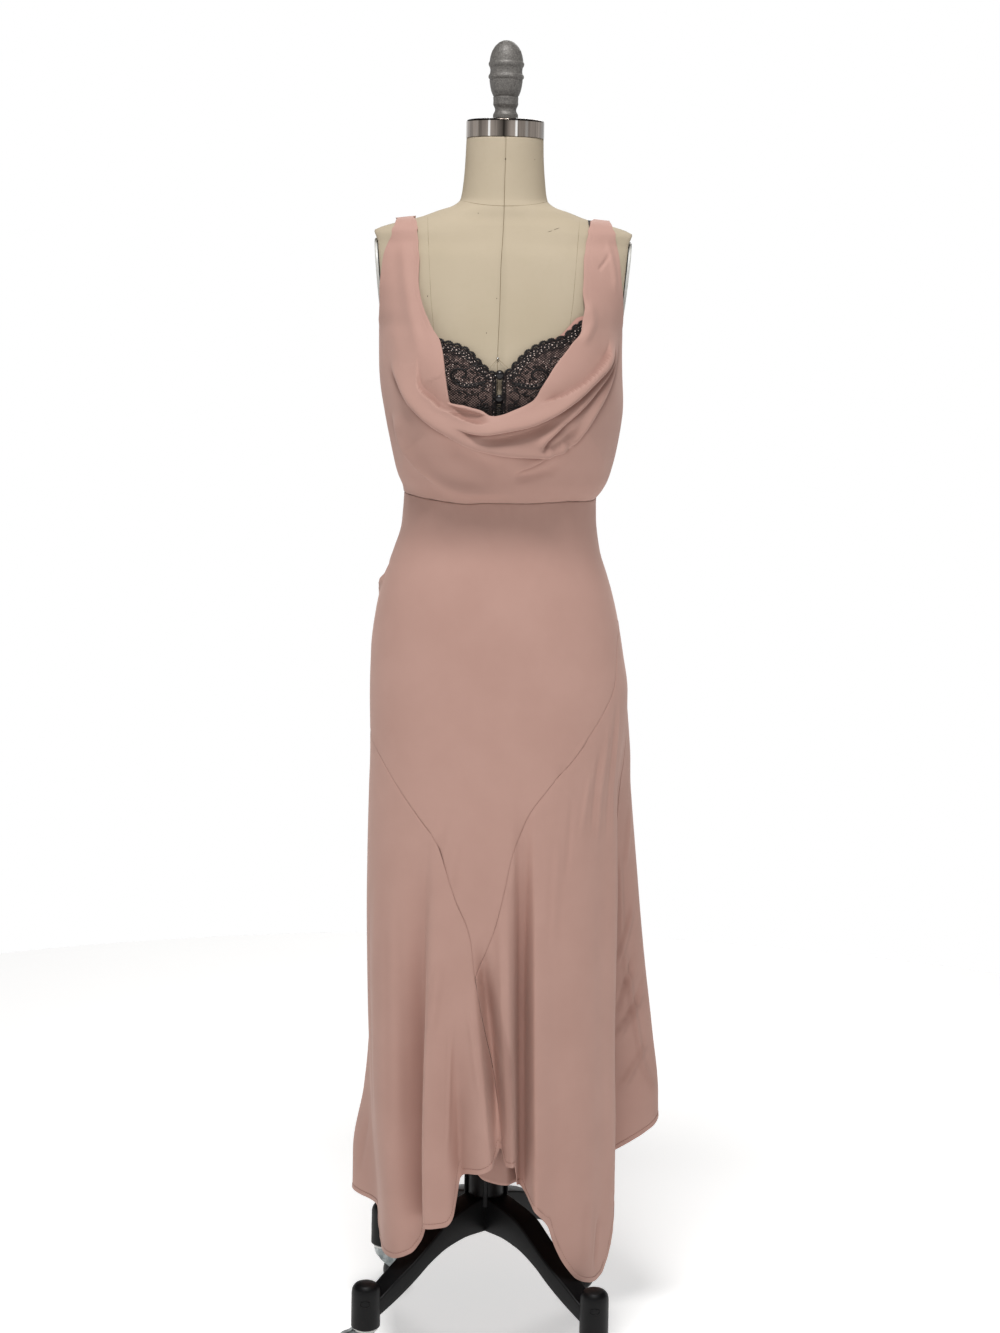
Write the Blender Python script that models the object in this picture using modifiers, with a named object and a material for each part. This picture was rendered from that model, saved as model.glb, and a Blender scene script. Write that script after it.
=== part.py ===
"""Sleeveless cowl-neck slip dress standing on a limbless dress form with a castored base.

Metres, +Z up. The origin is on the floor under the middle of the whole outline, a little
to the right of the column, and the front of the dress faces -Y. Every cloth piece is a thin wall worked out from the form's own
sections, a table of skirt sections, a table of folds and a table of hem heights.
"""
import math

import bmesh
import bpy
import numpy as np
from mathutils import Matrix, Vector

MM = 0.001

# ---- driving sizes -------------------------------------------------------------------
WALL = 1.2 * MM            # cloth wall
SEAM_GAP = 0.3 * MM        # between neighbouring cloth pieces
STRAP_OUT = 3.6 * MM       # outer face of a strap above the form
LINING_OUT = 3.3 * MM      # outer face of the pink lining
LACE_OUT = 5.1 * MM        # outer face of the black lace
WAIST_OUT = 4.2 * MM       # outer face of both pieces at the waist seam
TORSO_BOTTOM = 0.800
NECK_TOP = 1.722
CAP_RADIUS = 0.0537
CAP_HEIGHT = 24.6 * MM
BASE_RADIUS = 0.227        # column axis to caster stem
BASE_YAW = 43.0            # front left leg, degrees forward of -X
HEAD_RADIUS = 20.5 * MM
HEAD_BOTTOM = 69 * MM
HEAD_TOP = 134 * MM
COLUMN_RADIUS = 22.5 * MM
COLUMN_BORE = 18.2 * MM
COLUMN_TOP = 0.620
POLE_RADIUS = 17.4 * MM
POLE_BOTTOM = 0.420
WHEEL_RADIUS = 25 * MM
WHEEL_WIDTH = 15 * MM
AXLE_TRAIL = 24 * MM
COLUMN_X = -12 * MM        # column axis from the origin
# direction of each caster's trail in degrees, in the order of the legs
SWIVEL_REST = {"front_left": 182.0, "front_right": 205.0, "back_right": 160.0, "back_left": 20.0}
LEG_ANGLE = {
    "front_left": 180.0 + BASE_YAW,
    "front_right": 270.0 + BASE_YAW,
    "back_right": BASE_YAW,
    "back_left": 90.0 + BASE_YAW,
}

# ---- the form: half width, depth to the front, depth to the back, roundness ----------
FORM_SECTIONS = [
    # z, half_width, front, back, power
    (0.800, 0.146, 0.092, 0.104, 2.2),
    (0.850, 0.160, 0.103, 0.120, 2.2),
    (0.900, 0.170, 0.112, 0.131, 2.2),
    (0.955, 0.1740, 0.118, 0.135, 2.2),
    (1.012, 0.1728, 0.117, 0.129, 2.2),
    (1.069, 0.1650, 0.112, 0.116, 2.2),
    (1.110, 0.1530, 0.106, 0.101, 2.2),
    (1.154, 0.1400, 0.100, 0.090, 2.2),
    (1.190, 0.1320, 0.097, 0.082, 2.2),
    (1.227, 0.1285, 0.096, 0.079, 2.2),
    (1.260, 0.1345, 0.104, 0.083, 2.2),
    (1.300, 0.1425, 0.116, 0.088, 2.2),
    (1.350, 0.1515, 0.129, 0.095, 2.25),
    (1.400, 0.1580, 0.130, 0.102, 2.3),
    (1.461, 0.1612, 0.119, 0.108, 2.3),
    (1.490, 0.1715, 0.111, 0.108, 2.3),
    (1.525, 0.1820, 0.101, 0.107, 2.3),
    (1.560, 0.1833, 0.090, 0.100, 2.2),
    (1.580, 0.1825, 0.080, 0.089, 2.0),
    (1.5910, 0.1765, 0.075, 0.083, 2.0),
    (1.5975, 0.1660, 0.072, 0.080, 2.0),
    (1.6025, 0.1545, 0.070, 0.077, 2.0),
    (1.6080, 0.1370, 0.067, 0.074, 2.0),
    (1.6135, 0.1165, 0.065, 0.071, 2.0),
    (1.6235, 0.0890, 0.063, 0.069, 2.0),
    (1.6300, 0.0700, 0.061, 0.067, 2.0),
    (1.6380, 0.0605, 0.058, 0.063, 2.0),
    (1.6620, 0.0565, 0.055, 0.058, 2.0),
    (1.6950, 0.0540, 0.053, 0.054, 2.0),
    (1.722, 0.0530, 0.053, 0.053, 2.0),
]
# the armholes are cut flat on a plane that leans inward going down
ARMHOLE = {"x": 0.1670, "z": 1.525, "slope": 0.10, "bottom": 1.465, "flare": 0.15}
STRAP_RISE = 4.5 * MM      # the straps bridge the shoulder tip instead of following it
BUST = {"x": 0.078, "z": 1.380, "across": 0.040, "tall": 0.050, "proud": 0.007}

# ---- the bodice, edge to edge --------------------------------------------------------
# Each row joins a point of the neckline to a point of the outer edge (armhole, side seam
# or waist). x is given where the point is in front, turn where it is on a seam.
FRONT_BODICE = [
    # inner_x, inner_z, outer_x, outer_turn, outer_z, forward_mm, columns
    (None, 1.6125, None, 180.0, 1.6042, 0.0, 3),
    (-0.1162, 1.6050, -0.1500, None, 1.6030, 0.0, 2),
    (-0.1145, 1.5860, -0.1580, None, 1.5870, 0.0, 2),
    (-0.1118, 1.5540, -0.1660, None, 1.5600, 0.0, 3),
    (-0.1074, 1.5000, -0.1655, None, 1.5262, 2.0, 2),
    (-0.0925, 1.4667, -0.1620, None, 1.4850, 5.0, 2),
    (-0.0780, 1.4405, None, 180.0, 1.4560, 9.0, 2),
    (-0.0710, 1.4050, None, 180.0, 1.3600, 14.0, 2),
    (-0.0645, 1.3730, None, 180.0, 1.2700, 17.0, 2),
    (-0.0510, 1.3630, None, 180.0, None, 18.0, 2),
    (-0.0330, 1.3560, None, 220.0, None, 18.5, 3),
    (-0.0080, 1.3490, None, 257.0, None, 19.0, 3),
    (0.0190, 1.3570, None, 288.0, None, 19.0, 3),
    (0.0460, 1.3720, None, 322.0, None, 18.0, 3),
    (0.0560, 1.3880, None, 360.0, None, 17.0, 2),
    (0.0670, 1.4070, None, 360.0, 1.2800, 15.0, 2),
    (0.0890, 1.4390, None, 360.0, 1.3700, 10.0, 2),
    (0.1040, 1.4660, None, 360.0, 1.4500, 5.0, 2),
    (0.1090, 1.4905, 0.1620, None, 1.4850, 3.0, 2),
    (0.1085, 1.5173, 0.1655, None, 1.5262, 1.0, 4),
    (0.1091, 1.5580, 0.1650, None, 1.5600, 0.0, 2),
    (0.1125, 1.5860, 0.1565, None, 1.5870, 0.0, 2),
    (0.1160, 1.6050, 0.1485, None, 1.6030, 0.0, 3),
    (None, 1.6125, None, 360.0, 1.6042, 0.0, 0),
]
BACK_BODICE = [
    # inner_x, inner_z, outer_x, outer_turn, outer_z, forward_mm, columns
    (None, 1.6125, None, 180.0, 1.6042, 0.0, 3),
    (-0.1160, 1.6050, -0.1500, None, 1.6030, 0.0, 2),
    (-0.1130, 1.5860, -0.1570, None, 1.5870, 0.0, 2),
    (-0.1080, 1.5600, -0.1580, None, 1.5650, 0.0, 3),
    (-0.1010, 1.5050, -0.1470, None, 1.5200, 0.0, 2),
    (-0.0930, 1.4780, -0.1490, None, 1.4890, 0.0, 1),
    (-0.0860, 1.4640, -0.1540, None, 1.4640, 0.0, 1),
    (-0.0770, 1.4530, None, 180.0, 1.4540, 0.0, 2),
    (-0.0640, 1.4430, None, 180.0, 1.3500, 1.0, 3),
    (-0.0480, 1.4350, None, 180.0, None, 1.0, 5),
    (-0.0150, 1.4300, None, 118.0, None, 1.0, 4),
    (0.0150, 1.4300, None, 62.0, None, 1.0, 5),
    (0.0480, 1.4350, None, 0.0, None, 1.0, 3),
    (0.0640, 1.4430, None, 0.0, 1.3500, 1.0, 2),
    (0.0770, 1.4530, None, 0.0, 1.4540, 0.0, 1),
    (0.0860, 1.4640, 0.1540, None, 1.4640, 0.0, 1),
    (0.0930, 1.4780, 0.1490, None, 1.4890, 0.0, 2),
    (0.1010, 1.5050, 0.1470, None, 1.5200, 0.0, 3),
    (0.1080, 1.5600, 0.1580, None, 1.5650, 0.0, 2),
    (0.1130, 1.5860, 0.1570, None, 1.5870, 0.0, 2),
    (0.1160, 1.6050, 0.1490, None, 1.6030, 0.0, 3),
    (None, 1.6125, None, 360.0, 1.6042, 0.0, 0),
]
# how far the bodice stands off the form at its left side, right side, front and back
BODICE_EASE = [
    # z, left_mm, right_mm, front_mm, back_mm
    (1.228, 4.3, 8.7, 4.2, 4.2),
    (1.243, 5.5, 15.5, 9.0, 5.0),
    (1.270, 8.0, 20.0, 15.0, 7.0),
    (1.300, 9.0, 21.0, 18.0, 8.0),
    (1.350, 10.5, 19.0, 15.0, 6.0),
    (1.406, 11.0, 11.0, 9.0, 4.5),
    (1.461, 9.5, 7.5, 7.0, 3.6),
    (1.516, 5.0, 4.0, 4.2, 3.6),
    (1.580, 3.6, 3.6, 3.6, 3.6),
    (1.615, 3.6, 3.6, 3.6, 3.6),
]
# cowl folds: the line under each roll, seen from the front
COWL_FOLDS = {
    "first_roll": {
        "height": 9.0, "rise": 9.0, "fade_in": 0.22, "fade_out": 0.14,
        "path": [
            # x, z
            (-0.1234, 1.4461), (-0.1110, 1.4050), (-0.0944, 1.3671), (-0.0740, 1.3480),
            (-0.0535, 1.3349), (-0.0270, 1.3275), (0.0003, 1.3254), (0.0270, 1.3315),
            (0.0535, 1.3435), (0.0800, 1.3580), (0.1069, 1.3772), (0.1270, 1.4000),
            (0.1411, 1.4238), (0.1592, 1.4779),
        ],
    },
    "second_roll": {
        "height": 11.0, "rise": 9.0, "fade_in": 0.20, "fade_out": 0.12,
        "path": [
            # x, z
            (-0.1487, 1.4238), (-0.1270, 1.3840), (-0.1011, 1.3479), (-0.0800, 1.3330),
            (-0.0559, 1.3215), (-0.0340, 1.3115), (-0.0127, 1.3052), (0.0168, 1.3030),
            (0.0583, 1.3040), (0.0921, 1.3096), (0.1160, 1.3260), (0.1357, 1.3497),
            (0.1560, 1.3900), (0.1620, 1.4250),
        ],
    },
    "low_swag": {
        "height": 4.0, "rise": 12.0, "fade_in": 0.35, "fade_out": 0.30,
        "path": [
            # x, z
            (-0.0500, 1.2880), (-0.0100, 1.2740), (0.0300, 1.2710), (0.0700, 1.2790),
            (0.1050, 1.2950), (0.1350, 1.3200), (0.1600, 1.3600),
        ],
    },
}


# ---- the skirt ------------------------------------------------------------------------
SKIRT_SECTIONS = [
    # z, left, right, front, back
    (1.240, 0.1330, 0.1350, 0.1005, 0.0835),
    (1.227, 0.1330, 0.1352, 0.1008, 0.0838),
    (1.190, 0.1358, 0.1385, 0.1012, 0.0870),
    (1.154, 0.1465, 0.1445, 0.1050, 0.0960),
    (1.126, 0.1565, 0.1535, 0.1090, 0.1060),
    (1.097, 0.1645, 0.1625, 0.1130, 0.1150),
    (1.069, 0.1702, 0.1695, 0.1165, 0.1220),
    (1.012, 0.1768, 0.1800, 0.1225, 0.1350),
    (0.955, 0.1778, 0.1880, 0.1260, 0.1420),
    (0.868, 0.1760, 0.1830, 0.1300, 0.1460),
    (0.810, 0.1775, 0.1770, 0.1340, 0.1480),
    (0.693, 0.1790, 0.1745, 0.1420, 0.1520),
    (0.576, 0.1778, 0.1745, 0.1500, 0.1560),
    (0.457, 0.1740, 0.1755, 0.1560, 0.1600),
    (0.337, 0.1685, 0.1780, 0.1610, 0.1640),
    (0.200, 0.1575, 0.1790, 0.1650, 0.1670),
    (0.100, 0.1555, 0.1780, 0.1660, 0.1680),
]
# folds run down the skirt; turn is 0 at the right side, 90 at the back, 180 at the left
# side and 270 at the front; depth is outward where it is positive
SKIRT_FOLDS = [
    # name, turn_top, turn_hem, z_start, z_full, depth_mm, width_low, width_high
    ("left_column", 214.0, 217.0, 0.800, 0.350, 12.0, 14.0, 11.0),
    ("left_valley", 237.5, 238.0, 0.760, 0.420, -26.0, 7.0, 6.0),
    ("left_flute", 248.5, 249.5, 0.720, 0.400, 15.0, 6.5, 5.5),
    ("small_valley", 258.0, 259.0, 0.520, 0.300, -15.0, 5.0, 4.5),
    ("point_flute", 262.0, 270.5, 0.600, 0.360, 20.0, 6.0, 3.6),
    ("point_valley", 267.0, 276.0, 0.600, 0.380, -22.0, 3.4, 3.4),
    ("tube_fold", 276.5, 280.0, 0.740, 0.450, 16.0, 3.2, 3.4),
    ("deep_valley", 284.5, 286.5, 0.800, 0.420, -40.0, 4.6, 4.0),
    ("panel_shoulder", 291.0, 292.5, 0.780, 0.450, 10.0, 4.5, 7.0),
    ("panel_crown", 318.0, 320.0, 0.800, 0.250, 7.0, 18.0, 16.0),
    ("right_edge", 345.0, 345.0, 0.880, 0.600, 8.0, 8.0, 6.0),
    ("right_valley", 356.0, 356.0, 0.900, 0.550, -20.0, 8.0, 9.0),
    ("back_fold_a", 42.0, 44.0, 0.700, 0.330, -14.0, 10.0, 10.0),
    ("back_fold_b", 66.0, 66.0, 0.780, 0.330, 12.0, 11.0, 10.0),
    ("back_fold_c", 89.0, 88.0, 0.740, 0.330, -16.0, 10.0, 10.0),
    ("back_fold_d", 110.0, 110.0, 0.780, 0.330, 12.0, 10.0, 10.0),
    ("back_fold_e", 132.0, 134.0, 0.700, 0.300, -12.0, 10.0, 10.0),
]
# the back panel swings out past the front at both sides
FLARES = [
    # name, turn, width_low, width_high, then the reach in mm at z = 0.95 .. 0.15
    ("right_flare", 14.0, 12.0, 17.0, (1.0, 20.0, 34.0, 46.0, 58.0, 70.0, 80.0, 81.0, 81.0)),
    ("left_flare", 160.0, 17.0, 10.0, (0.0, 0.0, 0.0, 0.0, 2.0, 10.0, 24.0, 50.0, 57.0)),
]
FLARE_HEIGHTS = (0.95, 0.85, 0.75, 0.65, 0.55, 0.45, 0.35, 0.25, 0.15)
HEM = [
    # turn, z
    (0.0, 0.275), (8.0, 0.300), (16.0, 0.317), (24.0, 0.314), (45.0, 0.292), (90.0, 0.262),
    (135.0, 0.228), (150.0, 0.205), (159.0, 0.190), (168.0, 0.187), (180.0, 0.187),
    (190.0, 0.172), (200.0, 0.157), (210.0, 0.154), (218.0, 0.160), (226.0, 0.177),
    (233.0, 0.197), (240.0, 0.203), (246.0, 0.211), (252.0, 0.226), (256.5, 0.248),
    (260.0, 0.280), (265.0, 0.298), (270.0, 0.316), (273.5, 0.330), (275.6, 0.325),
    (277.2, 0.290), (279.0, 0.300), (281.0, 0.304), (283.5, 0.294), (286.5, 0.268),
    (289.0, 0.252), (292.0, 0.236), (296.0, 0.214), (299.0, 0.193), (305.0, 0.166),
    (311.0, 0.142), (317.0, 0.1350), (322.0, 0.1240), (327.0, 0.1190), (332.0, 0.124),
    (337.0, 0.145), (341.0, 0.172), (348.0, 0.235), (355.0, 0.262), (360.0, 0.275),
]
WAIST = 1.2270             # height of the waist seam
POINT_TURN = 264.8         # where the two front seams meet
POINT_Z = 0.5715
LEFT_SEAM = [
    # x, z
    (-0.1702, 0.8855), (-0.1552, 0.8613), (-0.1297, 0.8248), (-0.1006, 0.7879),
    (-0.0762, 0.7562), (-0.0616, 0.7154), (-0.0500, 0.6815), (-0.0282, 0.6278),
]
RIGHT_SEAM = [
    # x, z
    (0.1699, 1.0330), (0.1660, 0.9700), (0.1500, 0.9340), (0.1325, 0.9061),
    (0.1120, 0.8761), (0.0915, 0.8538), (0.0713, 0.8292), (0.0512, 0.8018),
    (0.0367, 0.7675), (0.0275, 0.7404), (0.0187, 0.6980), (0.0090, 0.6560),
    (-0.0040, 0.6142),
]
CENTRE_SEAM = [
    # z, turn
    (0.5715, 264.8), (0.500, 268.5), (0.420, 272.5), (0.340, 275.5), (0.260, 276.6),
]

# ---- the lace under-bodice -------------------------------------------------------------
LACE_TOP = {
    "left": [
        # x, z
        (-0.1330, 1.4560), (-0.1080, 1.4520), (-0.0856, 1.4480), (-0.0558, 1.4407),
        (-0.0422, 1.4343), (-0.0285, 1.4212), (-0.0147, 1.4090), (-0.0066, 1.4045),
    ],
    "right": [
        # x, z
        (0.0032, 1.4045), (0.0110, 1.4105), (0.0188, 1.4193), (0.0360, 1.4357),
        (0.0587, 1.4481), (0.0790, 1.4540), (0.0897, 1.4630), (0.1031, 1.4743),
        (0.1330, 1.4800),
    ],
}
LACE_BOTTOM = 1.300
SCALLOP = {"pitch": 0.011, "deep": 0.0026}
BUTTONS = {"upper": 1.4016, "lower": 1.3696}
BUTTON_X = -0.0012
BUTTON_RADIUS = 5.6 * MM


# ---- general helpers -------------------------------------------------------------------
def slope_rows(xs, ys):
    """Slopes of a smooth curve through the rows that never overshoots them."""
    steps = np.diff(xs)
    rise = np.diff(ys) / steps
    slopes = np.zeros(len(xs))
    slopes[0] = rise[0]
    slopes[-1] = rise[-1]
    for i in range(1, len(xs) - 1):
        if rise[i - 1] * rise[i] > 0:
            w1 = 2 * steps[i] + steps[i - 1]
            w2 = steps[i] + 2 * steps[i - 1]
            slopes[i] = (w1 + w2) / (w1 / rise[i - 1] + w2 / rise[i])
    return slopes


class Curve:
    """A smooth function through a table's rows, held flat past its ends."""

    def __init__(self, xs, ys):
        order = np.argsort(np.array(xs, float))
        self.xs = np.array(xs, float)[order]
        self.ys = np.array(ys, float)[order]
        self.slopes = slope_rows(self.xs, self.ys)

    def __call__(self, x):
        x = min(max(x, self.xs[0]), self.xs[-1])
        i = min(int(np.searchsorted(self.xs, x, side="right")) - 1, len(self.xs) - 2)
        i = max(i, 0)
        h = self.xs[i + 1] - self.xs[i]
        s = (x - self.xs[i]) / h
        a = (1 + 2 * s) * (1 - s) ** 2
        b = s * (1 - s) ** 2
        c = s * s * (3 - 2 * s)
        d = s * s * (s - 1)
        return (
            a * self.ys[i]
            + b * h * self.slopes[i]
            + c * self.ys[i + 1]
            + d * h * self.slopes[i + 1]
        )


def column(table, index):
    return [row[index] for row in table]


def ease_in(value):
    value = min(max(value, 0.0), 1.0)
    return value * value * (3 - 2 * value)


def bump(offset, low, high):
    """A rounded ridge, one at its crest, with its own reach on each side."""
    reach = low if offset < 0 else high
    return math.exp(-((offset / reach) ** 2))


# ---- the form's surface ----------------------------------------------------------------
FORM = [Curve(column(FORM_SECTIONS, 0), column(FORM_SECTIONS, i)) for i in range(1, 5)]


def form_point(turn, z):
    half, front, back, power = (curve(z) for curve in FORM)
    angle = math.radians(turn)
    cos, sin = math.cos(angle), math.sin(angle)
    x = half * math.copysign(abs(cos) ** (2 / power), cos)
    depth = back if sin > 0 else front
    y = depth * math.copysign(abs(sin) ** (2 / power), sin)
    rise = z - ARMHOLE["z"]
    if z > ARMHOLE["bottom"]:
        limit = ARMHOLE["x"] + rise * ARMHOLE["slope"]
    else:
        limit = ARMHOLE["x"] + (ARMHOLE["bottom"] - ARMHOLE["z"]) * ARMHOLE["slope"]
        limit += (ARMHOLE["bottom"] - z) * ARMHOLE["flare"]
    x = max(-limit, min(limit, x))
    if sin < 0:
        for side in (-1, 1):
            across = (x - side * BUST["x"]) / BUST["across"]
            tall = (z - BUST["z"]) / BUST["tall"]
            y -= BUST["proud"] * math.exp(-across * across - tall * tall)
    return Vector((x, y, z))


def turn_at(x, z, half, power, front=True):
    """The turn at which a section reaches x, on its front or its back half."""
    share = min(abs(x) / half, 1.0)
    cos = share ** (power / 2)
    angle = math.degrees(math.acos(min(cos, 1.0)))
    if front:
        return 180 + angle if x < 0 else 360 - angle
    return 180 - angle if x < 0 else angle


def form_turn(x, z, front=True):
    return turn_at(x, z, FORM[0](z), FORM[3](z), front)


def surface_normal(point_of, turn, z, step=0.25):
    """The outward normal of a surface given by turn and height, by small differences."""
    along = point_of(turn + step, z) - point_of(turn - step, z)
    up = point_of(turn, z + 0.0015) - point_of(turn, z - 0.0015)
    return along.cross(up).normalized()


def on_form(turn, z, out):
    return form_point(turn, z) + surface_normal(form_point, turn, z) * out


# ---- the bodice's surface ----------------------------------------------------------------
EASE = [Curve(column(BODICE_EASE, 0), column(BODICE_EASE, i)) for i in range(1, 5)]


def bodice_ease(turn, z):
    left, right, front, back = (curve(z) * MM for curve in EASE)
    angle = math.radians(turn)
    cos, sin = math.cos(angle), math.sin(angle)
    side = right if cos > 0 else left
    face = back if sin > 0 else front
    return side * cos * cos + face * sin * sin


def edge_rows(table, front):
    """A bodice piece's neckline and outer-edge curves as turn and height over its columns."""
    at, inner_turn, inner_z, outer_turn, outer_z, forward = [], [], [], [], [], []
    spot, waist = 0.0, []
    for i, (in_x, in_z, out_x, out_turn, out_z, ahead, columns) in enumerate(table):
        end = 180.0 if i == 0 else (360.0 if front else 0.0)
        at.append(spot)
        inner_turn.append(end if in_x is None else form_turn(in_x, in_z, front))
        inner_z.append(in_z)
        if out_turn is None:
            out_turn = form_turn(out_x, out_z, front)
        if not front and out_turn == 360.0:
            out_turn = 0.0
        if out_z is None:
            waist.append(spot)
            out_z = WAIST + SEAM_GAP / 2
        outer_turn.append(out_turn)
        outer_z.append(out_z)
        forward.append(ahead * MM)
        spot += columns
    curves = [Curve(at, row) for row in (inner_turn, inner_z, outer_turn, outer_z, forward)]
    return {"curves": curves, "count": int(spot), "waist": (waist[0], waist[-1]), "front": front}


def cowl_height(x, z):
    """How far the cowl's rolls stand out; each one drops sharply along its lower line."""
    total = 0.0
    for fold in COWL_FOLDS.values():
        path = fold["path"]
        best, side, share = 1.0, 1.0, 0.0
        for i in range(len(path) - 1):
            ax, az = path[i]
            bx, bz = path[i + 1]
            dx, dz = bx - ax, bz - az
            s = min(max(((x - ax) * dx + (z - az) * dz) / (dx * dx + dz * dz), 0.0), 1.0)
            ex, ez = x - ax - s * dx, z - az - s * dz
            gap = math.hypot(ex, ez)
            if gap < best:
                best = gap
                side = dx * ez - dz * ex
                share = (i + s) / (len(path) - 1)
        fade = ease_in(share / fold["fade_in"]) * ease_in((1 - share) / fold["fade_out"])
        reach = best / (fold["rise"] * MM)
        lift = reach * math.exp(1 - reach) if side > 0 else 0.0
        total += fold["height"] * MM * fade * lift
    return total


def bodice_point(piece, at, v):
    """The outer face of a bodice piece at a column and a share of the way down."""
    inner_turn, inner_z, outer_turn, outer_z, forward = (curve(at) for curve in piece["curves"])
    turn = inner_turn + (outer_turn - inner_turn) * v
    z = inner_z + (outer_z - inner_z) * v
    out = max(bodice_ease(turn, z), WAIST_OUT if z < 1.30 else STRAP_OUT)
    out += forward * (1 - ease_in(v / 0.75)) + STRAP_RISE * v * ease_in((z - 1.570) / 0.030)
    if piece["front"]:
        flat = form_point(turn, z)
        out += cowl_height(flat.x, z)
    return on_form(turn, z, out), turn


# ---- the skirt's surface -----------------------------------------------------------------
SKIRT = [Curve(column(SKIRT_SECTIONS, 0), column(SKIRT_SECTIONS, i)) for i in range(1, 5)]
HEM_AT = Curve(column(HEM, 0), column(HEM, 1))
CENTRE_AT = Curve(column(CENTRE_SEAM, 0), column(CENTRE_SEAM, 1))
FLARE_AT = {row[0]: Curve(FLARE_HEIGHTS, row[4]) for row in FLARES}
SKIRT_POWER = 2.2


def turn_gap(turn, centre):
    return (turn - centre + 180.0) % 360.0 - 180.0


def skirt_reach(turn, z):
    """Outward displacement of the folds and flares at a turn and height."""
    reach = 0.0
    for _, top, hem, start, full, depth, low, high in SKIRT_FOLDS:
        if z >= start:
            continue
        grow = ease_in((start - z) / (start - full))
        centre = top + (hem - top) * min((start - z) / (start - 0.25), 1.0)
        reach += depth * MM * grow * bump(turn_gap(turn, centre), low, high)
    for name, centre, low, high, _ in FLARES:
        reach += FLARE_AT[name](z) * MM * bump(turn_gap(turn, centre), low, high)
    return reach


def skirt_point(turn, z):
    left, right, front, back = (curve(z) for curve in SKIRT)
    angle = math.radians(turn)
    cos, sin = math.cos(angle), math.sin(angle)
    half = right if cos > 0 else left
    depth = back if sin > 0 else front
    x = half * math.copysign(abs(cos) ** (2 / SKIRT_POWER), cos)
    y = depth * math.copysign(abs(sin) ** (2 / SKIRT_POWER), sin)
    way = Vector((cos * abs(cos), sin, 0.0)).normalized()
    point = Vector((x, y, z)) + way * skirt_reach(turn, z)
    if z > 1.190:
        share = ease_in((z - 1.190) / 0.030)
        point = point.lerp(on_form(turn, z, bodice_ease(turn, min(z, 1.228))), share)
    return point


def seam_curve(rows, start_turn, start_z):
    turns, heights = [start_turn], [start_z]
    for x, z in rows:
        half = SKIRT[0](z) if x < 0 else SKIRT[1](z)
        turns.append(turn_at(x, z, half, SKIRT_POWER))
        heights.append(z)
    turns.append(POINT_TURN)
    heights.append(POINT_Z)
    return Curve(turns, heights)


LEFT_SEAM_AT = seam_curve(LEFT_SEAM, 180.0, 0.900)
RIGHT_SEAM_AT = seam_curve(RIGHT_SEAM, 360.0, 1.060)


def front_seam(turn):
    return LEFT_SEAM_AT(turn) if turn <= POINT_TURN else RIGHT_SEAM_AT(turn)


def follow_centre(turn, z):
    """Lets the columns near the point follow the centre seam as it drifts down."""
    shift = CENTRE_AT(z) - POINT_TURN if z < POINT_Z else 0.0
    if turn <= POINT_TURN:
        return turn + shift * ease_in((turn - 236.0) / (POINT_TURN - 236.0))
    return turn + shift * ease_in((296.0 - turn) / (296.0 - POINT_TURN))


# ---- making objects ------------------------------------------------------------------------
def clear_scene():
    for item in list(bpy.data.objects):
        bpy.data.objects.remove(item, do_unlink=True)


clear_scene()
parts = bpy.data.collections.new("SlipDressOnForm")
bpy.context.scene.collection.children.link(parts)
cutters = bpy.data.collections.new("Cutters")
bpy.context.scene.collection.children.link(cutters)


def make_material(name, colour, roughness, metallic=0.0):
    material = bpy.data.materials.new(name)
    material.use_nodes = True
    shader = material.node_tree.nodes["Principled BSDF"]
    shader.inputs["Base Color"].default_value = (*colour, 1.0)
    shader.inputs["Roughness"].default_value = roughness
    shader.inputs["Metallic"].default_value = metallic
    return material


CREPE = make_material("rose_crepe", (0.53, 0.33, 0.27), 0.55)
LINING = make_material("rose_lining", (0.45, 0.27, 0.23), 0.6)
LACE = make_material("black_lace", (0.012, 0.010, 0.010), 0.7)
BUTTON = make_material("covered_button", (0.010, 0.008, 0.008), 0.4)
LINEN = make_material("cream_linen", (0.60, 0.50, 0.36), 0.8)
CHROME = make_material("chrome_band", (0.72, 0.71, 0.70), 0.15, 1.0)
HAMMERED = make_material("hammered_grey", (0.20, 0.19, 0.18), 0.4, 0.8)
PLATE = make_material("plate_grey", (0.45, 0.45, 0.44), 0.4)
CASTING = make_material("black_casting", (0.008, 0.008, 0.009), 0.45)
TUBE = make_material("pole_steel", (0.55, 0.55, 0.55), 0.25, 1.0)
FORK = make_material("fork_zinc", (0.32, 0.34, 0.34), 0.35, 0.9)
WHEEL = make_material("wheel_black", (0.010, 0.010, 0.010), 0.5)


def add_object(name, mesh, material, smooth=True, home=None):
    item = bpy.data.objects.new(name, mesh)
    (home or parts).objects.link(item)
    mesh.materials.append(material)
    for face in mesh.polygons:
        face.use_smooth = smooth
    return item


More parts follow.
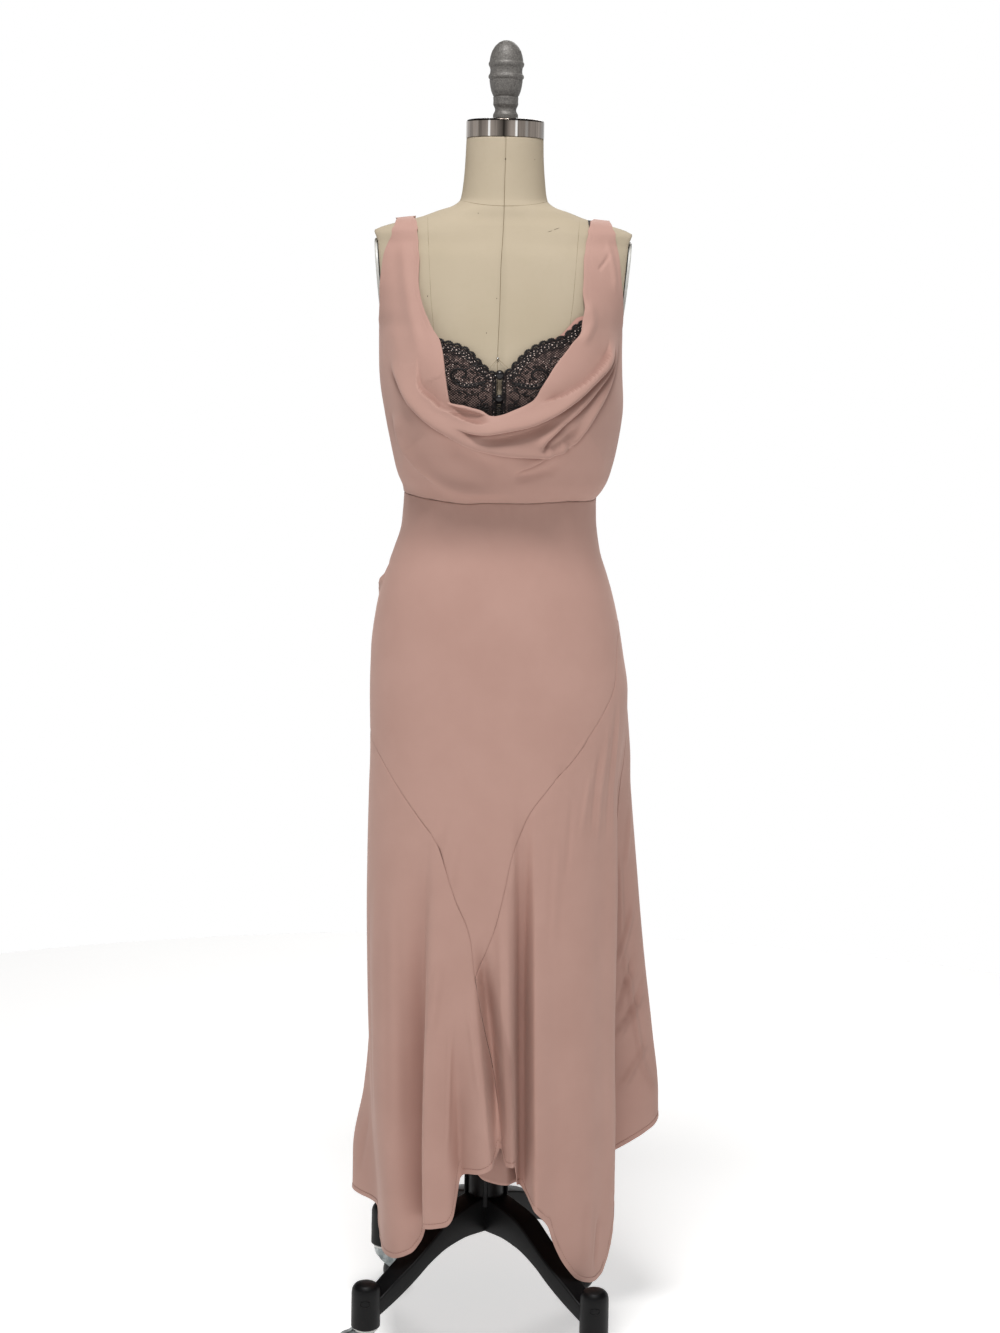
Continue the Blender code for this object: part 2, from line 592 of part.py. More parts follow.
def wall_object(name, outer, inner, material):
    """A closed cloth wall from two matching grids of points."""
    rows, cols = len(outer), len(outer[0])
    points = [p for row in outer for p in row] + [p for row in inner for p in row]
    shift = rows * cols
    faces = []
    for i in range(rows - 1):
        for j in range(cols - 1):
            a = i * cols + j
            b, c, d = a + 1, a + cols + 1, a + cols
            falling = (points[a] - points[c]).length
            rising = (points[b] - points[d]).length
            halves = ((a, b, c), (a, c, d)) if falling < rising else ((a, b, d), (b, c, d))
            for three in halves:
                faces.append(three)
                faces.append(tuple(k + shift for k in reversed(three)))
    rim = [j for j in range(cols)]
    rim += [i * cols + cols - 1 for i in range(1, rows)]
    rim += [(rows - 1) * cols + j for j in range(cols - 2, -1, -1)]
    rim += [i * cols for i in range(rows - 2, 0, -1)]
    for k, a in enumerate(rim):
        b = rim[(k + 1) % len(rim)]
        faces.append((b, a, a + shift, b + shift))
    mesh = bpy.data.meshes.new(name)
    mesh.from_pydata([tuple(p) for p in points], [], faces)
    work = bmesh.new()
    work.from_mesh(mesh)
    bmesh.ops.recalc_face_normals(work, faces=work.faces)
    work.to_mesh(mesh)
    work.free()
    return add_object(name, mesh, material)


def turned_object(name, profile, material, steps, centre=(0.0, 0.0)):
    """A body turned about a vertical axis from rows of radius and height."""
    mesh = bpy.data.meshes.new(name)
    points = [(radius, 0.0, z) for radius, z in profile]
    closed = profile[0][0] > 0
    edges = [(i, i + 1) for i in range(len(points) - 1)]
    if closed:
        edges.append((len(points) - 1, 0))
    mesh.from_pydata(points, edges, [])
    item = add_object(name, mesh, material)
    screw = item.modifiers.new("Turn", "SCREW")
    screw.axis = "Z"
    screw.steps = steps
    screw.render_steps = steps
    screw.use_merge_vertices = True
    screw.merge_threshold = 0.00001
    screw.use_smooth_shade = True
    screw.use_normal_calculate = True
    item.location = (centre[0], centre[1], 0.0)
    return item


# ---- the form --------------------------------------------------------------------------------
FORM_TURNS = [i * 11.25 for i in range(32)]
FORM_HEIGHTS = [
    0.800, 0.850, 0.905, 0.960, 1.020, 1.080, 1.140, 1.190, 1.227, 1.265, 1.305, 1.345,
    1.385, 1.430, 1.470, 1.510, 1.550, 1.577, 1.591, 1.5985, 1.606, 1.6135, 1.621, 1.628,
    1.638, 1.665, 1.722,
]


def form_object():
    mesh = bpy.data.meshes.new("form_torso")
    points, faces = [], []
    count = len(FORM_TURNS)
    for z in FORM_HEIGHTS:
        points += [tuple(form_point(turn, z)) for turn in FORM_TURNS]
    for i in range(len(FORM_HEIGHTS) - 1):
        for j in range(count):
            k = (j + 1) % count
            faces.append((i * count + j, i * count + k, (i + 1) * count + k, (i + 1) * count + j))
    faces.append(tuple(reversed(range(count))))
    top = (len(FORM_HEIGHTS) - 1) * count
    faces.append(tuple(range(top, top + count)))
    mesh.from_pydata(points, [], faces)
    return add_object("form_torso", mesh, LINEN)


form_object()

cap_top = NECK_TOP + 0.0001 + CAP_HEIGHT
turned_object("neck_cap", [
    (0.0, NECK_TOP + 0.0001),
    (CAP_RADIUS - 0.0008, NECK_TOP + 0.0001),
    (CAP_RADIUS, NECK_TOP + 0.0009),
    (CAP_RADIUS, cap_top - 0.0040),
    (CAP_RADIUS - 0.0012, cap_top - 0.0012),
    (CAP_RADIUS - 0.0040, cap_top),
    (0.0, cap_top),
], CHROME, 24)

FINIAL_PROFILE = [
    # radius, height above the cap
    (0.0, 0.0001), (0.0172, 0.0001), (0.0154, 0.0080), (0.0155, 0.0160), (0.0172, 0.0210),
    (0.0164, 0.0235), (0.0178, 0.0290), (0.0218, 0.0440), (0.0242, 0.0585), (0.0233, 0.0620),
    (0.0228, 0.0790), (0.0200, 0.0955), (0.0110, 0.1055), (0.0, 0.1080),
]
turned_object("finial", [(r, cap_top + h) for r, h in FINIAL_PROFILE], HAMMERED, 16)

ARM_PLATE = {"y": 0.004, "z": 1.5270, "half_y": 0.047, "half_z": 0.058}
ARM_PLATE_THICK = 5.0 * MM


def arm_plate(name, side):
    mesh = bpy.data.meshes.new(name)
    work = bmesh.new()
    bmesh.ops.create_cone(
        work, cap_ends=True, segments=28, radius1=1.0, radius2=1.0, depth=ARM_PLATE_THICK,
        matrix=Matrix.Rotation(math.radians(90), 4, "Y"),
    )
    bmesh.ops.scale(work, vec=(1.0, ARM_PLATE["half_y"], ARM_PLATE["half_z"]), verts=work.verts)
    work.to_mesh(mesh)
    work.free()
    item = add_object(name, mesh, PLATE, smooth=False)
    out = ARMHOLE["x"] + (ARM_PLATE["z"] - ARMHOLE["z"]) * ARMHOLE["slope"]
    out += ARM_PLATE_THICK / 2 + 0.2 * MM
    item.location = (side * out, ARM_PLATE["y"], ARM_PLATE["z"])
    item.rotation_euler = (0.0, side * math.atan(ARMHOLE["slope"]), 0.0)
    return item


arm_plate("arm_plate_left", -1)
arm_plate("arm_plate_right", 1)

# ---- the bodice ------------------------------------------------------------------------------
FRONT_PIECE = edge_rows(FRONT_BODICE, True)
BACK_PIECE = edge_rows(BACK_BODICE, False)
FRONT_ROWS = (0.0, 0.06, 0.12, 0.18, 0.24, 0.31, 0.38, 0.47, 0.60, 0.78, 0.92, 1.0)
BACK_ROWS = (0.0, 0.18, 0.38, 0.58, 0.78, 0.91, 1.0)


def bodice_piece(name, piece, rows):
    outer, inner = [], []
    count = piece["count"]
    lift = SEAM_GAP / 2
    for v in rows:
        outer_row, inner_row = [], []
        for i in range(count + 1):
            centre, turn = bodice_point(piece, i, v)
            v0, v1 = max(v - 0.01, 0.0), min(v + 0.01, 1.0)
            along = bodice_point(piece, min(i + 0.2, count), v)[0]
            along = along - bodice_point(piece, max(i - 0.2, 0), v)[0]
            across = bodice_point(piece, i, v1)[0] - bodice_point(piece, i, v0)[0]
            away = surface_normal(form_point, turn, centre.z)
            normal = across.cross(along).normalized()
            if normal.dot(away) < 0:
                normal.negate()
            normal = (normal * 0.55 + away * 0.45).normalized()
            at_side = min(abs(turn_gap(turn, 0)), abs(turn_gap(turn, 180))) < 0.01
            if i in (0, count) or at_side:
                normal.y = 0.0
                normal.normalize()
            inside = centre - normal * WALL
            nudge = Vector((0.0, 0.0, 0.0))
            if i in (0, count) or at_side:
                nudge.y = -lift if piece["front"] else lift
            outer_row.append(centre + nudge)
            inner_row.append(inside + nudge)
        outer.append(outer_row)
        inner.append(inner_row)
    return wall_object(name, outer, inner, CREPE)


bodice_piece("bodice_front", FRONT_PIECE, FRONT_ROWS)
bodice_piece("bodice_back", BACK_PIECE, BACK_ROWS)

# ---- the skirt ---------------------------------------------------------------------------------
FRONT_TURNS = [
    180.0, 187.0, 195.0, 203.0, 211.0, 218.0, 225.0, 230.0, 234.0, 238.0, 242.0, 246.0, 250.0,
    253.5, 256.5, 259.0, 261.0, 263.0, POINT_TURN, 266.6, 268.4, 270.2, 272.2, 274.4, 276.6,
    279.0, 281.4, 283.8, 286.2, 288.6, 291.2, 295.0, 300.0, 306.0, 313.0, 320.0, 327.0, 334.0,
    340.0, 344.0, 347.5, 351.0, 355.5, 360.0,
]
BACK_TURNS = [
    0.0, 5.0, 10.0, 14.0, 19.0, 25.0, 32.0, 39.0, 46.0, 54.0, 62.0, 70.0, 78.0, 86.0, 94.0,
    102.0, 110.0, 118.0, 126.0, 134.0, 142.0, 150.0, 156.0, 161.0, 166.0, 173.0, 180.0,
]


def skirt_piece(name, turns, top_of, bottom_of, rows, front, follow):
    """A panel between two edges given as heights over the turn."""
    outer, inner = [], []
    for k in range(rows + 1):
        v = k / rows
        outer_row, inner_row = [], []
        for turn in turns:
            top = top_of(turn)
            bottom = bottom_of(turn)
            if follow:
                for _ in range(3):
                    bottom = bottom_of(follow_centre(turn, bottom))
            z = top + (bottom - top) * v
            at = follow_centre(turn, z) if follow else turn
            centre = skirt_point(at, z)
            normal = surface_normal(skirt_point, at, z, 0.8)
            nudge = Vector((0.0, 0.0, 0.0))
            if turn in (180.0, 360.0, 0.0):
                nudge.y = -SEAM_GAP / 2 if front else SEAM_GAP / 2
            outer_row.append(centre + nudge)
            inner_row.append(centre - normal * WALL + nudge)
        outer.append(outer_row)
        inner.append(inner_row)
    return wall_object(name, outer, inner, CREPE)


def waist_edge(turn):
    return WAIST - SEAM_GAP / 2


def steep_gap(curve, turn):
    """Half a seam gap measured square to a slanting seam, as a height."""
    here = skirt_point(turn, curve(turn))
    step = 0.4 if turn < 359 else -0.4
    there = skirt_point(turn + step, curve(turn + step))
    run = math.hypot(there.x - here.x, there.y - here.y)
    rise = abs(there.z - here.z)
    return SEAM_GAP / 2 * min(math.hypot(run, rise) / max(run, 1e-6), 5.0)


def centre_bottom(turn):
    return front_seam(turn) + steep_gap(front_seam, turn)


def godet_top(turn):
    return front_seam(turn) - steep_gap(front_seam, turn)


def shifted(turns, which):
    """The godets' edges stand half a gap off the centre seam."""
    half_gap = math.degrees(SEAM_GAP / 2 / 0.17)
    if which == "left":
        return turns[:-1] + [turns[-1] - half_gap]
    return [turns[0] + half_gap] + turns[1:]


point_at = FRONT_TURNS.index(POINT_TURN)
left_turns = shifted(FRONT_TURNS[: point_at + 1], "left")
right_turns = shifted(FRONT_TURNS[point_at:], "right")
skirt_piece("skirt_front_centre", FRONT_TURNS, waist_edge, centre_bottom, 10, True, False)
skirt_piece("skirt_front_left", left_turns, godet_top, HEM_AT, 11, True, True)
skirt_piece("skirt_front_right", right_turns, godet_top, HEM_AT, 12, True, True)
skirt_piece("skirt_back", BACK_TURNS, waist_edge, HEM_AT, 14, False, False)

# ---- the lace under-bodice ---------------------------------------------------------------------
LACE_COLUMNS = 16
LACE_LEVELS = (0.0, 0.14, 0.38, 0.66, 1.0)


def lace_piece(name, side, out, lift, scalloped, material):
    rows = LACE_TOP[side]
    top = Curve(column(rows, 0), column(rows, 1))
    first, last = rows[0][0], rows[-1][0]
    outer, inner = [], []
    for v in LACE_LEVELS:
        outer_row, inner_row = [], []
        for i in range(LACE_COLUMNS + 1):
            x = first + (last - first) * i / LACE_COLUMNS
            high = top(x) + lift
            if scalloped:
                high -= SCALLOP["deep"] * (1 - abs(math.sin(math.pi * x / SCALLOP["pitch"])))
            z = high + (LACE_BOTTOM - high) * v
            turn = form_turn(x, z)
            away = surface_normal(form_point, turn, z)
            base = form_point(turn, z)
            outer_row.append(base + away * out)
            inner_row.append(base + away * (out - WALL))
        outer.append(outer_row)
        inner.append(inner_row)
    return wall_object(name, outer, inner, material)


for side in ("left", "right"):
    lace_piece("lining_" + side, side, LINING_OUT, 0.0, False, LINING)
    lace_piece("lace_" + side, side, LACE_OUT, -0.0006, True, LACE)

LACE_STRAPS = {
    "left": [
        # x, z
        (-0.1000, 1.4545), (-0.1150, 1.4900), (-0.1230, 1.5300), (-0.1270, 1.5700),
        (-0.1300, 1.5960), (-0.1320, 1.6080),
    ],
    "right": [
        # x, z
        (0.1120, 1.4790), (0.1180, 1.5000), (0.1220, 1.5300), (0.1215, 1.5700),
        (0.1200, 1.5960), (0.1185, 1.6110),
    ],
}


def lace_strap(name, side):
    rows = LACE_STRAPS[side]
    path = Curve(column(rows, 1), column(rows, 0))
    bottom, top = rows[0][1], rows[-1][1]
    outer, inner = [], []
    for k in range(13):
        z = bottom + (top - bottom) * (1 - (1 - k / 12) ** 2)
        outer_row, inner_row = [], []
        for j in range(2):
            x = path(z) + (j - 0.5) * 6.0 * MM
            turn = form_turn(x, z)
            away = surface_normal(form_point, turn, z)
            base = form_point(turn, z)
            lift = 0.2 * MM * ease_in((1.50 - z) / 0.03)
            outer_row.append(base + away * (1.7 * MM + lift))
            inner_row.append(base + away * (0.5 * MM + lift))
        outer.append(outer_row)
        inner.append(inner_row)
    return wall_object(name, outer, inner, LACE)


lace_strap("lace_strap_left", "left")
lace_strap("lace_strap_right", "right")


def covered_button(name, z):
    turn = form_turn(BUTTON_X, z)
    away = surface_normal(form_point, turn, z)
    seat = form_point(turn, z) + away * (LACE_OUT + 0.3 * MM)
    item = turned_object(name, [
        (0.0, 0.0), (BUTTON_RADIUS * 0.80, 0.0), (BUTTON_RADIUS, 1.1 * MM),
        (BUTTON_RADIUS * 0.88, 2.4 * MM), (BUTTON_RADIUS * 0.55, 3.4 * MM), (0.0, 3.9 * MM),
    ], BUTTON, 12)
    item.location = seat
    item.rotation_euler = away.to_track_quat("Z", "Y").to_euler()
    return item


for level, height in BUTTONS.items():
    covered_button("button_" + level, height)

# ---- pole, column and base ---------------------------------------------------------------------
pole_rows = [
    (POLE_RADIUS - 0.001, POLE_BOTTOM), (POLE_RADIUS, POLE_BOTTOM + 0.001),
    (POLE_RADIUS, TORSO_BOTTOM - 0.0001),
]

LEG_PROFILE = [
    # distance from the axis, top, underside, half_width
    (0.010, 0.2060, 0.1565, 0.0190),
    (0.045, 0.1980, 0.1540, 0.0190),
    (0.085, 0.1790, 0.1480, 0.0190),
    (0.135, 0.1550, 0.1270, 0.0180),
    (0.180, 0.1310, 0.1020, 0.0170),
    (0.236, 0.0960, 0.0740, 0.0150),
]


def leg_mesh(name, angle):
    points, faces = [], []
    for r, top, under, half in LEG_PROFILE:
        ease = 2.5 * MM
        points += [
            (r, -half, under), (r, half, under), (r, half, top - ease),
            (r, half - ease, top), (r, -half + ease, top), (r, -half, top - ease),
        ]
    n = 6
    for i in range(len(LEG_PROFILE) - 1):
        for j in range(n):
            k = (j + 1) % n
            faces.append((i * n + j, i * n + k, (i + 1) * n + k, (i + 1) * n + j))
    faces.append(tuple(reversed(range(n))))
    last = (len(LEG_PROFILE) - 1) * n
    faces.append(tuple(range(last, last + n)))
    mesh = bpy.data.meshes.new(name)
    mesh.from_pydata(points, [], faces)
    mesh.transform(Matrix.Rotation(math.radians(angle), 4, "Z"))
    work = bmesh.new()
    work.from_mesh(mesh)
    bmesh.ops.recalc_face_normals(work, faces=work.faces)
    work.to_mesh(mesh)
    work.free()
    return mesh


def cylinder_mesh(name, rows, segments, x=0.0, y=0.0):
    """A closed turned mesh from rows of radius and height, for joining into a casting."""
    points, faces = [], []
    for radius, z in rows:
        for j in range(segments):
            angle = 2 * math.pi * (j + 0.5) / segments
            points.append((x + radius * math.cos(angle), y + radius * math.sin(angle), z))
    for i in range(len(rows) - 1):
        for j in range(segments):
            k = (j + 1) % segments
            faces.append((
                i * segments + j, i * segments + k,
                (i + 1) * segments + k, (i + 1) * segments + j,
            ))
    faces.append(tuple(reversed(range(segments))))
    last = (len(rows) - 1) * segments
    faces.append(tuple(range(last, last + segments)))
    mesh = bpy.data.meshes.new(name)
    mesh.from_pydata(points, [], faces)
    return mesh


def boolean(item, cutter, operation):
    step = item.modifiers.new(operation.title() + cutter.name, "BOOLEAN")
    step.operation = operation
    step.solver = "EXACT"
    step.object = cutter
    cutter.hide_render = True
    cutter.display_type = "WIRE"


def cutter_object(name, mesh):
    item = bpy.data.objects.new(name, mesh)
    cutters.objects.link(item)
    return item


HUB_ROWS = [
    # radius, height
    (0.0300, 0.1600), (0.0330, 0.1640), (0.0330, 0.1880), (0.0262, 0.2120), (0.0262, 0.2980),
    (0.0250, 0.3000),
]
add_object("pole", cylinder_mesh("pole", pole_rows, 24), TUBE, smooth=False)
base = add_object("base", cylinder_mesh("base", HUB_ROWS, 24), CASTING, smooth=False)
for leg, angle in LEG_ANGLE.items():
    boolean(base, cutter_object("leg_" + leg, leg_mesh("leg_" + leg, angle)), "UNION")
    cx = BASE_RADIUS * math.cos(math.radians(angle))
    cy = BASE_RADIUS * math.sin(math.radians(angle))
    head_rows = [
        (HEAD_RADIUS, HEAD_BOTTOM),
        (HEAD_RADIUS - 0.0004, HEAD_TOP - 0.012), (HEAD_RADIUS - 0.0045, HEAD_TOP - 0.0035),
        (HEAD_RADIUS - 0.012, HEAD_TOP),
    ]
    head = cylinder_mesh("head_" + leg, head_rows, 14, cx, cy)
    boolean(base, cutter_object("head_" + leg, head), "UNION")
bore = cylinder_mesh("column_seat", [
    (COLUMN_RADIUS + 0.00005, 0.180), (COLUMN_RADIUS + 0.00005, 0.320),
], 24)
boolean(base, cutter_object("column_seat", bore), "DIFFERENCE")
# the four ribs that stiffen the hub
for k in range(4):
    angle = BASE_YAW + 45.0 + 90.0 * k
    rib = bpy.data.meshes.new("rib_%d" % k)
    work = bmesh.new()
    bmesh.ops.create_cube(work, size=1.0)
    bmesh.ops.scale(work, vec=(0.008, 0.007, 0.090), verts=work.verts)
    bmesh.ops.translate(work, vec=(0.0285, 0.0, 0.246), verts=work.verts)
    bmesh.ops.rotate(work, verts=work.verts, matrix=Matrix.Rotation(math.radians(angle), 3, "Z"))
    work.to_mesh(rib)
    work.free()
    boolean(base, cutter_object("rib_%d" % k, rib), "UNION")

column_item = add_object("column", cylinder_mesh("column", [
    (COLUMN_RADIUS, 0.1801), (COLUMN_RADIUS, COLUMN_TOP),
], 24), CASTING, smooth=False)
column_bore = cutter_object("column_bore", cylinder_mesh("column_bore", [
    (COLUMN_BORE, 0.1900), (COLUMN_BORE, COLUMN_TOP + 0.010),
], 24))
boolean(column_item, column_bore, "DIFFERENCE")

# ---- casters ---------------------------------------------------------------------------------
FORK_TOP = HEAD_BOTTOM - 0.4 * MM
PLATE_THICK = 3.0 * MM
CHEEK_THICK = 2.0 * MM
CHEEK_GAP = WHEEL_WIDTH / 2 + 0.8 * MM
AXLE_RADIUS = 3.0 * MM


def caster(leg, angle):
    """One swivel fork and its wheel; each turns about its own origin."""
    cx = BASE_RADIUS * math.cos(math.radians(angle))
    cy = BASE_RADIUS * math.sin(math.radians(angle))
    turn = math.radians(SWIVEL_REST[leg])
    mesh = cylinder_mesh("fork_" + leg, [
        (0.0160, FORK_TOP - PLATE_THICK), (0.0160, FORK_TOP),
    ], 12)
    fork = add_object("fork_" + leg, mesh, FORK, smooth=False)
    fork.location = (cx, cy, 0.0)
    fork.rotation_euler = (0.0, 0.0, turn)
    # a hood over the wheel, hollowed by a slot, with the axle put back across it
    hood_profile = [
        # x along the trail, z
        (-0.0130, FORK_TOP - PLATE_THICK + 0.0005), (-0.0125, 0.0540), (0.0040, 0.0340),
        (AXLE_TRAIL - 0.0065, 0.0200), (AXLE_TRAIL + 0.0065, 0.0200), (AXLE_TRAIL + 0.0170, 0.0340),
        (AXLE_TRAIL + 0.0150, 0.0500), (0.0240, 0.0600), (0.0130, FORK_TOP - PLATE_THICK + 0.0005),
    ]
    half = CHEEK_GAP + CHEEK_THICK
    hood = bpy.data.meshes.new("hood_" + leg)
    count = len(hood_profile)
    points = [(x, -half, z) for x, z in hood_profile] + [(x, half, z) for x, z in hood_profile]
    faces = [tuple(range(count)), tuple(reversed(range(count, 2 * count)))]
    faces += [(i, i + count, (i + 1) % count + count, (i + 1) % count) for i in range(count)]
    hood.from_pydata(points, [], faces)
    work = bmesh.new()
    work.from_mesh(hood)
    bmesh.ops.recalc_face_normals(work, faces=work.faces)
    work.to_mesh(hood)
    work.free()
    slot = bpy.data.meshes.new("slot_" + leg)
    work = bmesh.new()
    bmesh.ops.create_cube(work, size=1.0)
    bmesh.ops.scale(work, vec=(0.070, 2 * CHEEK_GAP, 0.0500), verts=work.verts)
    bmesh.ops.translate(work, vec=(0.0130, 0.0, 0.0), verts=work.verts)
    work.to_mesh(slot)
    work.free()
    slot.transform(Matrix.Translation((0.0, 0.0, WHEEL_RADIUS * 2 + 0.0022 - 0.0250)))
    axle = bpy.data.meshes.new("axle_" + leg)
    work = bmesh.new()
    bmesh.ops.create_cone(
        work, cap_ends=True, segments=8, radius1=AXLE_RADIUS, radius2=AXLE_RADIUS,
        depth=2 * half + 0.0016, matrix=Matrix.Rotation(math.radians(90), 4, "X"),
    )
    bmesh.ops.translate(work, vec=(AXLE_TRAIL, 0.0, WHEEL_RADIUS), verts=work.verts)
    work.to_mesh(axle)
    work.free()
    for label, tool, operation in (
        ("hood_", hood, "UNION"), ("slot_", slot, "DIFFERENCE"), ("axle_", axle, "UNION"),
    ):
        piece = cutter_object(label + "tool_" + leg, tool)
        piece.location = fork.location
        piece.rotation_euler = fork.rotation_euler
        boolean(fork, piece, operation)
    width = WHEEL_WIDTH / 2
    inner = AXLE_RADIUS + 0.35 * MM
    profile = [
        (inner, -width), (WHEEL_RADIUS - 0.0040, -width), (WHEEL_RADIUS, -width + 0.0045),
        (WHEEL_RADIUS, width - 0.0045), (WHEEL_RADIUS - 0.0040, width), (inner, width),
    ]
    wheel = turned_object("wheel_" + leg, profile, WHEEL, 16)
    wheel.location = (
        cx + AXLE_TRAIL * math.cos(turn), cy + AXLE_TRAIL * math.sin(turn), WHEEL_RADIUS,
    )
    wheel.rotation_euler = (math.radians(90), 0.0, turn)
    return fork, wheel


for leg, angle in LEG_ANGLE.items():
    caster(leg, angle)

for item in list(parts.objects) + list(cutters.objects):
    item.location.x += COLUMN_X

bpy.context.view_layer.update()
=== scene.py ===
from math import atan, atan2, copysign, cos, degrees, pi, radians, sin

import bpy
import numpy as np
from mathutils import Euler, Matrix, Vector, noise


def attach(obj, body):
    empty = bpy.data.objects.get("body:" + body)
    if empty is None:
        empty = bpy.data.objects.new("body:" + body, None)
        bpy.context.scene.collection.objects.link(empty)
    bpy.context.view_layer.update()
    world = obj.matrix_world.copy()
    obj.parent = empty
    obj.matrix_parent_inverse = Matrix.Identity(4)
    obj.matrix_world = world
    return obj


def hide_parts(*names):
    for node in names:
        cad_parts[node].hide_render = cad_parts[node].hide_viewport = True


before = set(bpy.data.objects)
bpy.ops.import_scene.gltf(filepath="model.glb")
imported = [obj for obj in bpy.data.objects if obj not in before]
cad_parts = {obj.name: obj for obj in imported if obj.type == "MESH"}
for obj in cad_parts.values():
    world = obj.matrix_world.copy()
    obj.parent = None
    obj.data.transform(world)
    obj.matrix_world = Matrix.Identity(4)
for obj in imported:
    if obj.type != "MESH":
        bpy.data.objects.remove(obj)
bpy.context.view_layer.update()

mm = 0.001
columnX = -0.012  # the stand's axis, left of the middle of the whole outline
detail = 1.0  # share of the full number of rows and columns


def rowCurve(xs, ys):
    # a smooth curve through a table's rows that never overshoots them, held flat past its ends
    order = np.argsort(np.array(xs, float))
    xs = np.array(xs, float)[order]
    ys = np.array(ys, float)[order]
    steps = np.diff(xs)
    rise = np.diff(ys) / steps
    slopes = np.zeros(len(xs))
    slopes[0], slopes[-1] = rise[0], rise[-1]
    for i in range(1, len(xs) - 1):
        if rise[i - 1] * rise[i] > 0:
            before = 2 * steps[i] + steps[i - 1]
            after = steps[i] + 2 * steps[i - 1]
            slopes[i] = (before + after) / (before / rise[i - 1] + after / rise[i])

    def curve(x):
        x = np.clip(np.asarray(x, float), xs[0], xs[-1])
        i = np.clip(np.searchsorted(xs, x, side="right") - 1, 0, len(xs) - 2)
        h = xs[i + 1] - xs[i]
        s = (x - xs[i]) / h
        return (
            (1 + 2 * s) * (1 - s) ** 2 * ys[i] + s * (1 - s) ** 2 * h * slopes[i]
            + s * s * (3 - 2 * s) * ys[i + 1] + s * s * (s - 1) * h * slopes[i + 1]
        )

    return curve


def tableCurve(table, index):
    return rowCurve([row[0] for row in table], [row[index] for row in table])


def easeIn(value):
    value = np.clip(value, 0.0, 1.0)
    return value * value * (3 - 2 * value)


def asFloats(*values):
    return [np.asarray(value, float) for value in values]


def bell(value):
    return np.exp(-value ** 2)


def unit(vectors):
    return vectors / np.maximum(np.linalg.norm(vectors, axis=-1, keepdims=True), 1e-12)


def turnGap(turn, centre):
    return (turn - centre + 180.0) % 360.0 - 180.0


def ovalPoint(turn, left, right, front, back, power):
    # x and y on a rounded section that reaches its own way to each of four sides
    cosine, sine = np.cos(np.radians(turn)), np.sin(np.radians(turn))
    x = np.where(cosine > 0, right, left) * np.sign(cosine) * np.abs(cosine) ** (2 / power)
    y = np.where(sine > 0, back, front) * np.sign(sine) * np.abs(sine) ** (2 / power)
    return x, y, cosine, sine


def sidedBump(offset, low, high, power=2.0):
    # a rounded ridge with its own reach on each side; a power under 2 makes its crest sharper
    reach = np.where(offset < 0, low, high)
    return np.exp(-np.abs(offset / reach) ** power)


def softNoise(points, size, seed, stretch=(1.0, 1.0, 1.0)):
    # smooth noise about size metres across, from -1 to 1, at every point of an array
    flat = np.asarray(points, float).reshape(-1, 3) / (np.array(stretch) * size)
    flat = flat + seed * 17.31
    values = [noise.noise(Vector(p)) for p in flat.tolist()]
    return np.array(values).reshape(np.asarray(points).shape[:-1])


def makeObject(name, points, faces, material, smooth=True, shades=None):
    mesh = bpy.data.meshes.new(name)
    points = np.array(points, float).reshape(-1, 3)
    points[:, 0] += columnX
    mesh.from_pydata(points.tolist(), [], faces)
    mesh.polygons.foreach_set("use_smooth", [smooth] * len(mesh.polygons))
    mesh.materials.append(material)
    if shades is not None:
        layer = mesh.attributes.new("shade", "FLOAT", "POINT")
        layer.data.foreach_set("value", np.array(shades, float).ravel())
    item = bpy.data.objects.new(name, mesh)
    bpy.context.scene.collection.objects.link(item)
    return item


def gridFaces(rows, cols, start=0, closed=False, flip=False):
    faces = []
    last = cols if closed else cols - 1
    for i in range(rows - 1):
        for j in range(last):
            a = start + i * cols + j
            b = start + i * cols + (j + 1) % cols
            four = (a, b, b + cols, a + cols)
            faces.append(four[::-1] if flip else four)
    return faces


def gridNormals(grid):
    down = np.gradient(grid, axis=0)
    across = np.gradient(grid, axis=1)
    normals = unit(np.cross(across, down))
    away = grid * np.array((1.0, 1.0, 0.0))
    if (normals * away).sum() < 0:
        normals = -normals
    return normals


def clothWall(name, outer, wall, material, shade=None, normals=None):
    # a closed cloth wall: the outer face is the grid, the inner one lies a wall's thickness inside
    rows, cols = outer.shape[:2]
    if normals is None:
        normals = gridNormals(outer)
    inner = outer - normals * wall
    points = np.concatenate([outer.reshape(-1, 3), inner.reshape(-1, 3)])
    shift = rows * cols
    down = outer[1, 0] - outer[0, 0]
    across = outer[0, 1] - outer[0, 0]
    flip = float(np.dot(np.cross(across, down), normals[0, 0])) < 0
    faces = gridFaces(rows, cols, 0, False, flip) + gridFaces(rows, cols, shift, False, not flip)
    rim = list(range(cols))
    rim += [i * cols + cols - 1 for i in range(1, rows)]
    rim += [(rows - 1) * cols + j for j in range(cols - 2, -1, -1)]
    rim += [i * cols for i in range(rows - 2, 0, -1)]
    for k, a in enumerate(rim):
        b = rim[(k + 1) % len(rim)]
        four = (b, a, a + shift, b + shift)
        faces.append(four[::-1] if flip else four)
    shades = None
    if shade is not None:
        shades = np.concatenate([shade.ravel(), shade.ravel()])
    return makeObject(name, points, faces, material, True, shades)


def tubeFaces(rows, steps, joined=False):
    # faces of a tube of rings, with its two ends capped or joined to each other
    faces = gridFaces(rows, steps, 0, True)
    last = (rows - 1) * steps
    if joined:
        return faces + [(last + j, last + (j + 1) % steps, (j + 1) % steps, j) for j in range(steps)]
    return faces + [tuple(reversed(range(steps))), tuple(range(last, last + steps))]


